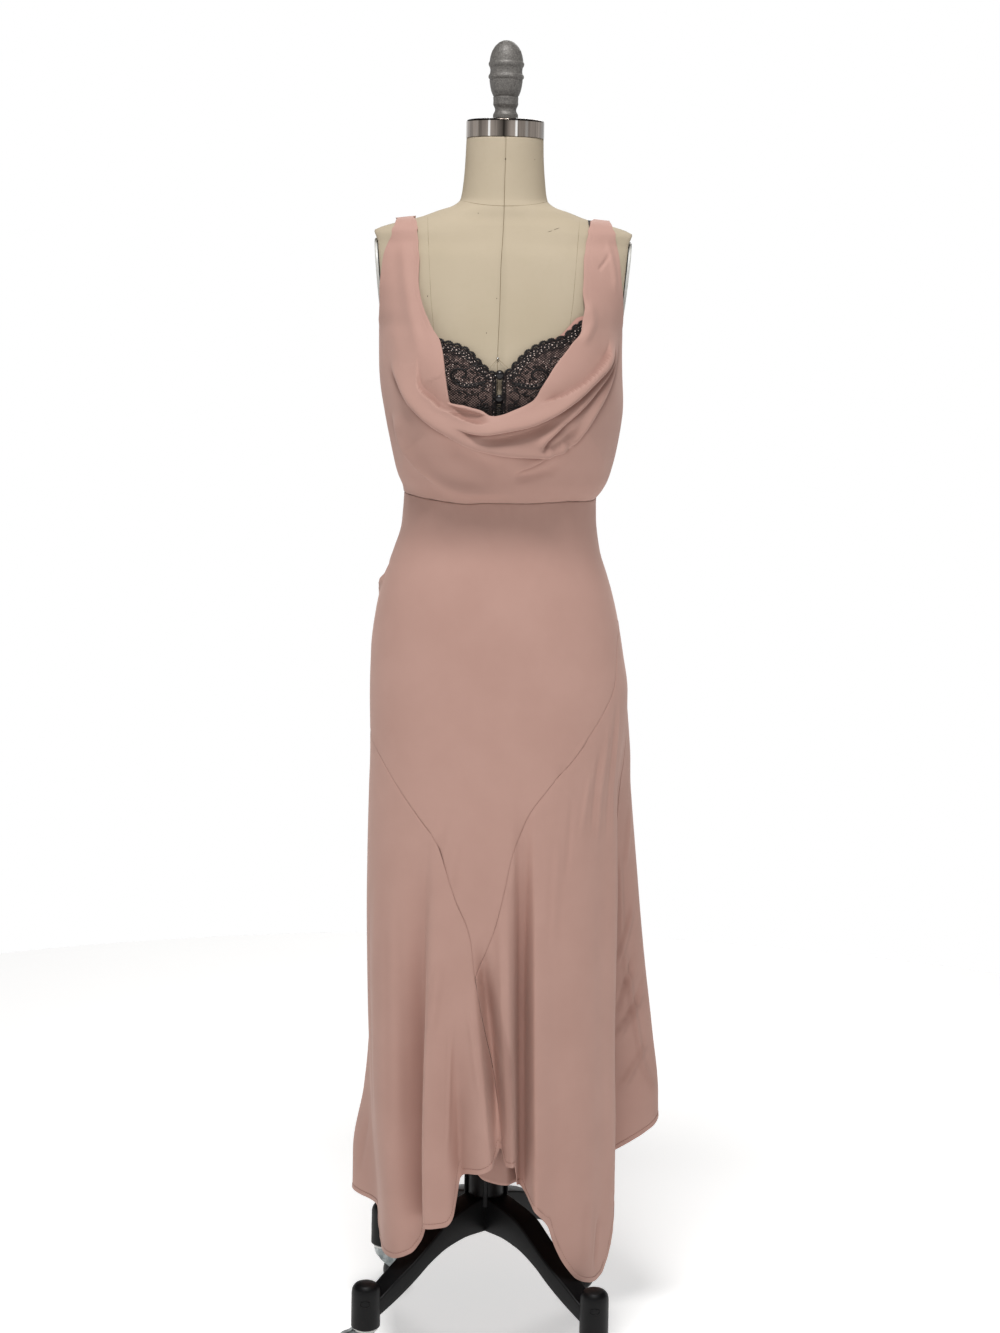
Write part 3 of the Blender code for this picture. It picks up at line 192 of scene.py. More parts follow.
def turnedMesh(profile, steps, joined=False):
    # points and faces of a body turned about Z from rows of radius and height
    radii, heights = np.array(profile, float).T[:, :, None]
    angles = np.arange(steps) * 2 * pi / steps
    points = np.stack([radii * np.cos(angles), radii * np.sin(angles), heights + angles * 0], -1)
    return points.reshape(-1, 3), tubeFaces(len(profile), steps, joined)


def roundProfile(rows, ease=0.0006, cuts=4):
    # a profile whose corners are eased by small arcs
    rows = [np.array(row, float) for row in rows]
    result = [rows[0]]
    for before, corner, after in zip(rows, rows[1:], rows[2:]):
        sides = [end - corner for end in (before, after)]
        spans = [np.linalg.norm(side) for side in sides]
        reach = min(ease, 0.45 * spans[0], 0.45 * spans[1])
        first, last = (corner + side / max(span, 1e-9) * reach for side, span in zip(sides, spans))
        for k in range(cuts + 1):
            s = k / cuts
            result.append((1 - s) ** 2 * first + 2 * s * (1 - s) * corner + s * s * last)
    result.append(rows[-1])
    return [tuple(row) for row in result]


def mirrored(rows, half):
    # rows of radius and inset from one face at half a width, then the same back to the other face
    low = [(radius, inset - half) for radius, inset in rows]
    return low + [(radius, -height) for radius, height in reversed(low)]


def moved(points, matrix):
    return np.asarray(points, float) @ np.array(matrix.to_3x3()).T + np.array(matrix.translation)


def spun(turn):
    return Matrix.Rotation(radians(turn), 4, "Z")


class Bundle:
    # gathers the points and faces of many small parts that become one object
    def __init__(self):
        self.points, self.faces, self.count = [], [], 0

    def add(self, points, faces):
        self.points.append(np.asarray(points, float).reshape(-1, 3))
        self.faces += [tuple(k + self.count for k in face) for face in faces]
        self.count += len(self.points[-1])

    def strand(self, path, normals, width, height, sides=6, closed=False, taper=0.0):
        # a thread along a path: width across the surface, height square to it
        path = np.asarray(path, float)
        n = len(path)
        ahead = np.roll(path, -1, 0) - np.roll(path, 1, 0) if closed else np.gradient(path, axis=0)
        ahead = unit(ahead)
        side = unit(np.cross(ahead, normals))
        up = unit(np.cross(side, ahead))
        angles = np.arange(sides) * 2 * pi / sides
        size = 1 - taper * (2 * np.abs(np.linspace(0, 1, n) - 0.5)) ** 4
        ring = (
            side[:, None] * np.cos(angles)[None, :, None] * (width / 2 * size)[:, None, None]
            + up[:, None] * np.sin(angles)[None, :, None] * (height / 2 * size)[:, None, None]
        )
        self.add(path[:, None] + ring, tubeFaces(n, sides, closed))

    def build(self, name, material):
        return makeObject(name, np.concatenate(self.points), self.faces, material)


def lengthAlong(path):
    return np.concatenate([[0], np.cumsum(np.linalg.norm(np.diff(path, axis=0), axis=1))])


def readAlong(at, lengths, rows):
    # what the columns of rows say at other lengths
    return np.stack([np.interp(at, lengths, column) for column in np.asarray(rows).T], -1)


def spacedPath(path, step):
    # the same line with its points an even step apart
    lengths = lengthAlong(path)
    count = max(int(round(lengths[-1] / step)), 1) + 1
    return readAlong(np.linspace(0, lengths[-1], count), lengths, path)


def smoothLine(rows, count=40):
    # a flowing line through rows of points
    rows = np.asarray(rows, float)
    padded = np.concatenate([[2 * rows[0] - rows[1]], rows, [2 * rows[-1] - rows[-2]]])
    result = []
    for k in range(count):
        at = k / (count - 1) * (len(rows) - 1)
        i = min(int(at), len(rows) - 2)
        s = at - i
        a, b, c, d = padded[i:i + 4]
        result.append(0.5 * (
            2 * b + (c - a) * s + (2 * a - 5 * b + 4 * c - d) * s * s + (3 * b - a - 3 * c + d) * s ** 3
        ))
    return np.array(result)


def stitchRow(bundle, path, normals, stitch):
    # separate sewn stitches along a line on a surface
    pitch = stitch["length"] + stitch["gap"]
    spots = np.concatenate([path, normals], 1)
    lengths = lengthAlong(path)
    count = max(int(round(lengths[-1] / pitch)), 1) + 1
    spots = readAlong(np.linspace(0, lengths[-1], count), lengths, spots)
    for start, end in zip(spots, spots[1:]):
        a, b = start[:3], start[:3] + (end[:3] - start[:3]) * (stitch["length"] / pitch)
        middle = (a + b) / 2 + start[3:] * stitch["height"] * 0.5
        bundle.strand([a, middle, b], np.repeat([start[3:]], 3, 0), stitch["width"], stitch["height"],
                      4, taper=0.5)


def fileDown(piece, slotName, *nodes, body="dressed_form"):
    # the piece moves with its body, and stands for the CAD nodes named
    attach(piece, body)
    if nodes:
        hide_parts(*nodes)
    return piece


# materials: one function turns hex to linear, one adds a node, one makes a finish from its parts
def linear(code):
    values = [int(code[i:i + 2], 16) / 255 for i in (1, 3, 5)]
    return (*[v / 12.92 if v <= 0.04045 else ((v + 0.055) / 1.055) ** 2.4 for v in values], 1.0)


def addNode(owner, kind, output, inputs=None, **settings):
    # an input takes a number, a hex colour or another node's output
    node = owner.node_tree.nodes.new("ShaderNode" + kind)
    for key, value in settings.items():
        setattr(node, key, value)
    for socket, value in (inputs or {}).items():
        if isinstance(value, bpy.types.NodeSocket):
            owner.node_tree.links.new(value, node.inputs[socket])
        else:
            node.inputs[socket].default_value = linear(value) if isinstance(value, str) else value
    return node.outputs[output]


def makeFinish(name, finish, tones=None, **surface):
    material = bpy.data.materials.new(name)
    material.use_nodes = True
    shader = material.node_tree.nodes["Principled BSDF"]
    for socket, value in {**finish["surface"], **surface}.items():
        shader.inputs[socket].default_value = linear(value) if isinstance(value, str) else value
    made = {"where": addNode(material, "TexCoord", "Object")}
    for key, (kind, output, inputs, settings) in finish.get("patterns", {}).items():
        if "Tex" in kind or kind == "Mapping":
            inputs = {"Vector": "where", **inputs}
        inputs = {socket: made.get(value, value) for socket, value in inputs.items()}
        made[key] = addNode(material, kind, output, inputs, **settings)
    for key, (size, levels, rough, *along) in finish.get("grains", {}).items():
        made[key] = addNode(material, "TexNoise", "Fac", {
            "Scale": 1 / (size * mm), "Detail": levels, "Roughness": rough,
            "Vector": made[along[0] if along else "where"],
        })

    def share(pattern, low=None, high=None, toLow=0.0, toHigh=1.0):
        # how strongly a pattern shows between two of its values; a shade comes with the piece's points
        if pattern not in made:
            made[pattern] = addNode(material, "Attribute", "Fac", attribute_name=pattern)
        if low is None:
            return made[pattern]
        return addNode(material, "MapRange", "Result", {
            "Value": made[pattern], "From Min": low, "From Max": high, "To Min": toLow, "To Max": toHigh,
        })

    tones = tones or {}
    tone, *layers = finish["tones"]
    tone = tones.get(tone, tone)
    for over, *row in layers:
        tone = addNode(
            material, "Mix", "Result", {"A": tone, "B": tones.get(over, over), "Factor": share(*row)},
            data_type="RGBA", clamp_factor=True,
        )
    sources = {"Base Color": tone}
    if "rough" in finish:
        sources["Roughness"] = share(*finish["rough"])
    if "bump" in finish:
        pattern, strength, height = finish["bump"]
        sources["Normal"] = addNode(material, "Bump", "Normal", {
            "Height": made[pattern], "Strength": strength, "Distance": height * mm,
        })
    for socket, source in sources.items():
        material.node_tree.links.new(source, shader.inputs[socket])
    return material


# each finish: the shader's own values, patterns, grains (size in mm, levels, roughness), tones laid
# one over another where a pattern shows, and the pattern that is raised, with its height in mm
waveBands = 3.2  # bands that a wave texture draws in one unit of its scale

# viscose crepe, woven from hard-twisted yarn: a matt face with a fine pebble and a soft sheen
# at grazing angles; the real pebble is 0.4 mm, drawn four times coarser so that it shows
crepe = {
    "surface": {"Roughness": 0.72, "Specular IOR Level": 0.28, "Sheen Weight": 0.22,
                "Sheen Roughness": 0.45, "Sheen Tint": "#F1D9CD"},
    "grains": {"clouds": (85, 3, 0.55), "pebble": (1.6, 2, 0.6)},
    # the line tone lies where the piece's shade attribute is: painted shade in folds, creases, seams and
    # hem grooves
    "tones": ["deep", ("light", "clouds", 0.3, 0.68), ("deep", "pebble", 0.52, 0.8, 0, 0.3),
              ("line", "shade")],
    "bump": ("pebble", 0.16, 0.6),
}
lining = {**crepe, "grains": {**crepe["grains"], "pebble": (1.2, 2, 0.6)}}

# unbleached canvas stretched over the form: plain weave, slightly slubbed, quite matt;
# the threads are 0.8 mm apart, drawn at 1.5 mm so that they show
canvasWave = {"Scale": 1 / 0.0015 / waveBands, "Distortion": 1.6, "Detail": 1, "Detail Scale": 0.6}
canvas = {
    "surface": {"Roughness": 0.86, "Specular IOR Level": 0.18},
    "patterns": {
        "warp": ("TexWave", "Fac", canvasWave, {"bands_direction": "X"}),
        "weft": ("TexWave", "Fac", canvasWave, {"bands_direction": "Z"}),
        "weave": ("Math", "Value", {0: "warp", 1: "weft"}, {"operation": "MULTIPLY"}),
    },
    "grains": {"slub": (12, 4, 0.6), "clouds": (110, 2, 0.5)},
    # the darkest tone lies where the shade attribute is: painted shade in the seam grooves
    "tones": ["#B6A891", ("#BDAF99", "clouds", 0.3, 0.7), ("#B6A891", "slub", 0.5, 0.8, 0, 0.5),
              ("#B6A891", "weave", 0.55, 0, 0, 0.22), ("#6E6250", "shade")],
    "bump": ("weave", 0.25, 0.4),
}

# spun sewing thread: matt, a little darker in the twist
thread = {
    "surface": {"Roughness": 0.75, "Specular IOR Level": 0.3},
    "grains": {"twist": (1.2, 2, 0.6)},
    "tones": ["deep", ("light", "twist")],
}

# chrome plate rolled and polished round the neck: faint upright draw lines, a hard mirror
chrome = {
    "surface": {"Metallic": 1, "Roughness": 0.14},
    "patterns": {"upright": ("Mapping", "Vector", {"Scale": (1, 1, 0.02)}, {})},
    "grains": {"bands": (16, 2, 0.5, "upright"), "lines": (2.2, 1, 0.5, "upright")},
    # the broad upright bands and the two tones laid on the shade attribute are painted reflections, bright
    # and dark
    "tones": ["#5F5852", ("#958B83", "bands", 0.38, 0.6), ("#3E3935", "lines", 0.55, 0.75, 0, 0.5),
              ("#F4F3F1", "shade", 0.6, 1), ("#2B2724", "shade", 0.4, 0)],
    "bump": ("lines", 0.08, 0.2),
}

# cast metal in grey hammered enamel: small dimples 2 mm across break up a dull sheen
hammered = {
    "surface": {"Metallic": 0.35, "Roughness": 0.58, "Coat Weight": 0.05, "Coat Roughness": 0.4},
    "patterns": {"dimples": ("TexVoronoi", "Distance", {"Scale": 1 / 0.0026}, {"feature": "SMOOTH_F1"})},
    "grains": {"specks": (1.6, 3, 0.7)},
    "tones": ["#5C5956", ("#8E8A85", "specks", 0.35, 0.72), ("#474441", "dimples", 0.2, 0.7, 0, 0.35)],
    "bump": ("dimples", 0.3, 0.6),
}

# pressed steel plate in pale grey stove enamel: smooth, half matt, with faint orange peel
stoved = {
    "surface": {"Roughness": 0.38, "Specular IOR Level": 0.5},
    "grains": {"peel": (3, 1, 0.4), "scuffs": (20, 4, 0.7)},
    "tones": ["#B9B8B3", ("#D3D2CD", "scuffs", 0.35, 0.7)],
    "bump": ("peel", 0.1, 0.4),
}

# iron casting in black satin enamel: fine sand-cast grain under the paint, and paler along
# its edges as a painted highlight
casting = {
    "surface": {"Specular IOR Level": 0.2, "Coat Weight": 0.04, "Coat Roughness": 0.35},
    "patterns": {"edgeHighlight": ("NewGeometry", "Pointiness", {}, {})},
    "grains": {"sand": (2.2, 3, 0.65), "patches": (30, 4, 0.6)},
    "tones": ["#050506", ("#0B0B0D", "patches", 0.35, 0.75), ("#2C2D30", "edgeHighlight", 0.53, 0.62, 0, 0.6)],
    "rough": ("patches", 0.3, 0.7, 0.4, 0.54),
    "bump": ("sand", 0.22, 0.6),
}

# drawn steel tube, brushed and plated: fine lines round it and a soft grey shine
tube = {
    "surface": {"Metallic": 1, "Roughness": 0.24},
    "patterns": {"round": ("Mapping", "Vector", {"Scale": (1, 1, 14)}, {})},
    "grains": {"brushed": (10, 3, 0.6, "round")},
    "tones": ["#9C9B99", ("#C4C3C0", "brushed", 0.3, 0.7)],
    "bump": ("brushed", 0.06, 0.2),
}

# pressed steel fork, zinc plated: a cool pale grey with a cloudy spangle
zinc = {
    "surface": {"Metallic": 0.85, "Roughness": 0.36},
    "patterns": {
        "spangle": ("TexVoronoi", "Color", {"Scale": 1 / 0.004}, {}),
        "grey": ("RGBToBW", "Val", {"Color": "spangle"}, {}),
    },
    "grains": {"clouds": (10, 3, 0.6)},
    "tones": ["#8A9192", ("#B4BABA", "grey", 0.2, 0.8), ("#747A7B", "clouds", 0.5, 0.8, 0, 0.6)],
    "bump": ("clouds", 0.08, 0.4),
}

# moulded nylon wheel: black, satin, dusty where it rolls
nylon = {
    "surface": {"Specular IOR Level": 0.45},
    "grains": {"dust": (8, 4, 0.7)},
    "tones": ["#141416", ("#2D2D2F", "dust", 0.5, 0.8)],
    "rough": ("dust", 0.3, 0.8, 0.34, 0.62),
    "bump": ("dust", 0.1, 0.5),
}

# rayon cord of a corded lace: black with a grey-brown glint on the twist, 1.2 mm to a turn
rayon = {
    "surface": {"Roughness": 0.45, "Specular IOR Level": 0.35, "Sheen Weight": 0.04,
                "Sheen Roughness": 0.4, "Sheen Tint": "#9A908A"},
    "patterns": {"twist": ("TexWave", "Fac", {"Scale": 260, "Distortion": 2.5, "Detail": 1},
                           {"bands_direction": "DIAGONAL"})},
    "tones": ["#0E0B0C", ("#2E2928", "twist", 0.55, 0.95)],
    "bump": ("twist", 0.5, 0.4),
}

# black cotton net lying on the rose lining: diamond holes 1.4 mm apart, drawn at 2.6 mm,
# so the lining shows through as a pinkish brown
netWave = {"Scale": 1 / 0.0026 / waveBands, "Distortion": 0.5, "Detail": 0}
net = {
    "surface": {"Roughness": 0.8, "Specular IOR Level": 0.2},
    "patterns": {
        "leanLeft": ("Mapping", "Vector", {"Rotation": (0, 0.9, 0)}, {}),
        "leanRight": ("Mapping", "Vector", {"Rotation": (0, -0.9, 0)}, {}),
        "firstThreads": ("TexWave", "Fac", {**netWave, "Vector": "leanLeft"}, {"bands_direction": "X"}),
        "crossThreads": ("TexWave", "Fac", {**netWave, "Vector": "leanRight"}, {"bands_direction": "X"}),
        "mesh": ("Math", "Value", {0: "firstThreads", 1: "crossThreads"}, {"operation": "MAXIMUM"}),
    },
    "grains": {"patches": (6, 2, 0.5)},
    "tones": ["#937B73", ("#191415", "mesh", 0.55, 0.85), ("#191415", "patches", 0.5, 0.7, 0, 0.75),
              ("#191415", "shade")],
    "bump": ("mesh", 0.4, 0.4),
}

# satin stretched over a button shell: smooth black with a tight highlight
satin = {
    "surface": {"Roughness": 0.3, "Specular IOR Level": 0.55, "Sheen Weight": 0.2,
                "Sheen Roughness": 0.3},
    "grains": {"weave": (0.9, 1, 0.5)},
    "tones": ["#0C0A0B", ("#242022", "weave")],
    "bump": ("weave", 0.15, 0.2),
}

# a seamless studio floor in matt white paint
paint = {
    "surface": {"Roughness": 0.9, "Specular IOR Level": 0.1, "Emission Strength": 0.47,
                "Emission Color": "#FFFFFF"},
    "grains": {"clouds": (600, 2, 0.5)},
    "tones": ["#F3F2F0", ("#F8F7F6", "clouds")],
}

roseCrepe = makeFinish("roseCrepe", crepe, {"light": "#BC968A", "deep": "#B79185", "line": "#7B5449"})
roseLining = makeFinish("roseLining", lining, {"light": "#BC9084", "deep": "#AB7F73", "line": "#6E4A40"})
roseThread = makeFinish("roseThread", thread, {"light": "#9C7468", "deep": "#7F594E"})
linenCanvas = makeFinish("linenCanvas", canvas)
linenThread = makeFinish("linenThread", thread, {"light": "#8F7E62", "deep": "#75664C"})
pencilLead = makeFinish("pencilLead", thread, {"light": "#5A5146", "deep": "#4A4239"})
chromeBand = makeFinish("polishedChrome", chrome)
hammeredEnamel = makeFinish("hammeredEnamel", hammered)
greyPlate = makeFinish("stoveEnamel", stoved)
# a dark ring under each arm plate, where a dark line runs between plate and canvas
plateDarkRing = makeFinish("darkPlateRing", thread, {"light": "#3A3836", "deep": "#262423"}, Roughness=0.6)
blackCasting = makeFinish("blackCastIron", casting)
steelTube = makeFinish("brushedSteelTube", tube)
zincFork = makeFinish("zincPlate", zinc)
nylonWheel = makeFinish("nylonWheel", nylon)
laceCord = makeFinish("laceCord", rayon)
laceNet = makeFinish("laceNet", net)
# the eyelet dots: the lining's colour made much paler, a painted highlight
laceGlint = makeFinish("laceGlint", thread, {"light": "#EBD9D0", "deep": "#CDB4A9"}, Roughness=0.5)
buttonSatin = makeFinish("buttonSatin", satin)
steelPin = makeFinish("steelPin", tube)
studioFloor = makeFinish("studioFloor", paint)
print("materials made:", len(bpy.data.materials))


# the dress form's body
formShape = {
    "sections": [
        # z, half width, depth to the front, depth to the back, roundness
        (0.8, 0.146, 0.092, 0.104, 2.2), (0.85, 0.16, 0.103, 0.12, 2.2), (0.9, 0.17, 0.112, 0.131, 2.2),
        (0.955, 0.174, 0.118, 0.135, 2.2), (1.012, 0.1728, 0.117, 0.129, 2.2),
        (1.069, 0.165, 0.112, 0.116, 2.2), (1.11, 0.153, 0.106, 0.101, 2.2), (1.154, 0.14, 0.1, 0.09, 2.2),
        (1.19, 0.132, 0.097, 0.082, 2.2), (1.227, 0.1285, 0.096, 0.079, 2.2),
        (1.26, 0.1345, 0.104, 0.083, 2.2), (1.3, 0.1425, 0.116, 0.088, 2.2),
        (1.35, 0.1515, 0.129, 0.095, 2.25), (1.4, 0.158, 0.13, 0.102, 2.3),
        (1.461, 0.1612, 0.119, 0.108, 2.3), (1.49, 0.1715, 0.111, 0.108, 2.3),
        (1.525, 0.182, 0.101, 0.107, 2.3), (1.56, 0.1833, 0.09, 0.1, 2.2), (1.58, 0.185, 0.08, 0.089, 2),
        (1.591, 0.185, 0.075, 0.083, 2), (1.5975, 0.174, 0.072, 0.08, 2), (1.6025, 0.16, 0.07, 0.077, 2),
        (1.608, 0.1395, 0.067, 0.074, 2), (1.6135, 0.1165, 0.065, 0.071, 2),
        (1.6235, 0.089, 0.063, 0.069, 2), (1.63, 0.07, 0.061, 0.067, 2), (1.638, 0.0605, 0.058, 0.063, 2),
        (1.662, 0.0565, 0.055, 0.058, 2), (1.695, 0.054, 0.053, 0.054, 2), (1.722, 0.053, 0.053, 0.053, 2),
    ],
    "bottom": 0.8,
    "neckTop": 1.722,
    "bust": {"x": 0.078, "z": 1.38, "across": 0.04, "tall": 0.05, "proud": 0.007},
    # the armholes are cut flat on a plane that leans inward going down
    "armhole": {"x": 0.167, "z": 1.525, "slope": 0.1, "bottom": 1.465, "flare": 0.15, "lip": 1.58,
                "lean": 0.32},
}
formCurves = [tableCurve(formShape["sections"], i) for i in range(1, 5)]


def softLimit(x, limit, ease=0.001):
    # holds x inside the limit, with a small rounded edge where it meets it
    return np.sign(x) * (limit - ease * np.logaddexp(0, (limit - np.abs(x)) / ease))


def formSurface(turn, z):
    turn, z = np.broadcast_arrays(*asFloats(turn, z))
    half, front, back, power = (curve(z) for curve in formCurves)
    x, y, _, sine = ovalPoint(turn, half, half, front, back, power)
    hole = formShape["armhole"]
    limit = hole["x"] + (np.maximum(z, hole["bottom"]) - hole["z"]) * hole["slope"]
    limit = limit + np.maximum(hole["bottom"] - z, 0) * hole["flare"]
    limit = limit + np.maximum(z - hole["lip"], 0) * hole["lean"]
    x = softLimit(x, limit)
    bust = formShape["bust"]
    for side in (-1, 1):
        across = (x - side * bust["x"]) / bust["across"]
        tall = (z - bust["z"]) / bust["tall"]
        y = y - np.where(sine < 0, bust["proud"] * np.exp(-across * across - tall * tall), 0)
    return np.stack([x, y, z], -1)


def turnAt(x, half, power, front=True):
    # the turn at which a section reaches x, on its front or its back half
    angle = np.degrees(np.arccos(np.minimum(np.abs(x) / half, 1.0) ** (power / 2)))
    if front:
        return np.where(np.asarray(x) < 0, 180 + angle, 360 - angle)
    return np.where(np.asarray(x) < 0, 180 - angle, angle)


def formTurn(x, z, front=True):
    return turnAt(np.asarray(x, float), formCurves[0](z), formCurves[3](z), front)


def surfaceNormal(pointOf, turn, z, step=0.25):
    turn, z = asFloats(turn, z)
    along = pointOf(turn + step, z) - pointOf(turn - step, z)
    up = pointOf(turn, z + 0.0015) - pointOf(turn, z - 0.0015)
    return unit(np.cross(along, up))


def onForm(turn, z, out):
    out = np.asarray(out, float)
    return formSurface(turn, z) + surfaceNormal(formSurface, turn, z) * out[..., None]


def formCover():
    # the canvas body: fine rows where it shows, wide ones under the skirt
    count = int(224 * detail) // 4 * 4
    low = np.linspace(formShape["bottom"], 1.3, int(46 * detail))
    high = np.linspace(1.3, formShape["neckTop"], int(160 * detail) + 1)[1:]
    heights = np.concatenate([low, high])
    turns = np.arange(count) * 360.0 / count
    grid = formSurface(turns[None, :], heights[:, None])
    normals = surfaceNormal(formSurface, turns[None, :], heights[:, None])
    seams = np.zeros(grid.shape[:2])
    for centre in (90.0, 270.0):
        gap = np.abs(turnGap(turns[None, :], centre)) * pi / 180 * 0.1 + heights[:, None] * 0
        seams += bell(gap / 0.0016)
    wave = softNoise(grid, 0.03, 3)
    grid = grid + normals * (wave * 0.25 * mm - seams * 0.5 * mm)[..., None]
    # the seam grooves are darkened a little by painted shade
    return makeObject("form_cover", grid, tubeFaces(len(heights), count), linenCanvas, True, seams * 0.1)


seamThread = {"width": 0.6 * mm, "height": 0.5 * mm, "lift": 0.02 * mm}


def formSeams():
    # the sewn lines of the canvas: centre front and back, neck, shoulders, princess lines, sides
    bundle = Bundle()

    def lay(turn, z, width=1.0):
        turn, z = asFloats(turn, z)
        path = onForm(turn, z, np.full(turn.shape, seamThread["lift"]))
        normals = surfaceNormal(formSurface, turn, z)
        bundle.strand(path, normals, seamThread["width"] * width, seamThread["height"], 4)

    heights = np.linspace(0.803, 1.7215, 180)
    centreX = np.interp(heights, [0.803, 1.42, 1.55, 1.63, 1.7215], [-4.0, -4.4, -2.0, 0.8, 1.2]) * mm
    lay(formTurn(centreX + 0.25 * mm * np.sin(heights * 60), heights), heights)
    lay(np.full(180, 90.0), heights)
    turns = np.linspace(0, 360, 181)
    lay(turns, 1.6395 - 0.011 * bell(turnGap(turns, 270) / 62)
        + 0.002 * bell(turnGap(turns, 90) / 60))
    for low, high, count in ((0.803, 1.46, 160), (1.599, 1.637, 60)):
        for turn in (180.0, 0.0):
            lay(np.full(count, turn), np.linspace(low, high, count), 0.8)
    for side in (-1, 1):
        for front in (True, False):
            z = np.linspace(0.803, 1.615, 260)
            x = side * np.interp(z, [0.803, 1.0, 1.227, 1.38, 1.5, 1.615],
                                 [0.088, 0.088, 0.062, 0.082, 0.096, 0.104])
            lay(formTurn(x, z, front), z, 0.55)
    return bundle.build("form_seam_threads", linenThread)


def formMarks():
    # a tailor's pencil strokes and small stains on the canvas
    bundle = Bundle()
    strokes = [
        # x and z of the two ends, width
        (0.0605, 1.5945, 0.0665, 1.5962, 0.7), (0.0685, 1.5975, 0.0765, 1.6005, 0.7),
        (0.0012, 1.69, 0.0013, 1.6935, 1.6), (-0.101, 1.504, -0.1005, 1.5062, 1.1),
        (-0.0075, 1.503, -0.007, 1.5044, 1.0), (-0.0202, 1.4565, -0.0199, 1.4582, 1.0),
        (-0.035, 1.619, -0.0342, 1.617, 0.7), (0.041, 1.6918, 0.0413, 1.6935, 0.8),
    ]
    for x1, z1, x2, z2, width in strokes:
        xs, zs = np.linspace(x1, x2, 4), np.linspace(z1, z2, 4)
        turns = formTurn(xs, zs)
        bundle.strand(onForm(turns, zs, np.full(4, 0.03 * mm)), surfaceNormal(formSurface, turns, zs),
                      width * mm, 0.25 * mm, 5, taper=0.6)
    return bundle.build("form_pencil_marks", pencilLead)


fileDown(formCover(), "cream_linen", "form_torso")
fileDown(formSeams(), "cream_linen")
fileDown(formMarks(), "cream_linen")

neckCap = {
    "radius": 53.7 * mm, "height": 24.6 * mm,
    # painted reflections on the band: turn, reach, tone (0 dull, 1 bright)
    "paintedReflections": [
        (246, 2, 1), (286.5, 2, 1), (266, 9, 0.25), (268, 1.5, 0), (222, 6, 0.42), (224, 2, 0.72),
        (206, 4, 0.35), (196, 3, 0.62), (303, 4, 0.66), (317, 6, 0.35), (336, 5, 0.62), (120, 4, 1),
        (58, 4, 1), (90, 14, 0.25), (150, 6, 0.35), (20, 8, 0.4), (170, 5, 0.7),
    ],
}
capFoot = formShape["neckTop"] + 0.1 * mm
capTop = capFoot + neckCap["height"]


def capMesh():
    radius = neckCap["radius"]
    rows = [
        (0.047, capFoot), (radius - 0.0002, capFoot), (radius, capFoot + 0.0006),
        (radius, capTop - 0.0026), (radius - 0.001, capTop - 0.0006),
        (radius - 0.004, capTop), (0.03, capTop - 0.0002), (0.001, capTop - 0.0002),
    ]
    points, faces = turnedMesh(roundProfile(rows, 0.0014, 4), 288)
    turn = np.degrees(np.arctan2(points[:, 1], points[:, 0])) % 360
    # painted reflections: bright flares and dull stretches that run up the band
    shades = np.full(len(points), 0.5)
    for centre, reach, tone in neckCap["paintedReflections"]:
        shades += (tone - 0.5) * sidedBump(turnGap(turn, centre), reach, reach, 4)
    return makeObject("neck_cap_band", points, faces, chromeBand, True, np.clip(shades, 0, 1))


fileDown(capMesh(), "chrome_band", "neck_cap")

finialShape = [
    # radius, height above the cap, in mm
    (0.5, 0.1), (17.2, 0.2), (17.2, 7.6), (16.4, 9.2), (14.9, 12), (14.6, 14.2), (14.9, 16.4), (16.4, 19.4),
    (17.3, 21.2), (17, 26), (17.4, 31.2), (16.6, 32), (18, 33.6), (20.4, 39.5), (21.9, 46.5), (22.9, 53.4),
    (22.6, 55), (24.1, 56.6), (24.6, 58.4), (24.1, 60.6), (22.4, 62.4), (21.9, 66.5), (22.5, 71),
    (24.2, 73.6), (24.6, 75.8), (24, 77.8), (22.9, 79.4), (22.8, 81.5), (21.9, 87), (19.8, 93.4),
    (16, 99.6), (10.6, 104.6), (5.4, 107.2), (0.4, 107.9),
]


def finialMesh():
    rows = roundProfile([(r * mm, capTop + h * mm) for r, h in finialShape], 0.0011, 3)
    points, faces = turnedMesh(rows, int(88 * detail))
    dents = softNoise(points, 0.0045, 7) * 0.22 * mm
    points = points + unit(points * np.array((1.0, 1.0, 0.0))) * dents[:, None]
    return makeObject("finial_knob", points, faces, hammeredEnamel)


fileDown(finialMesh(), "hammered_grey", "finial")

armPlate = {"y": 4 * mm, "z": 1527 * mm, "halfY": 47 * mm, "halfZ": 58 * mm, "thick": 5 * mm}


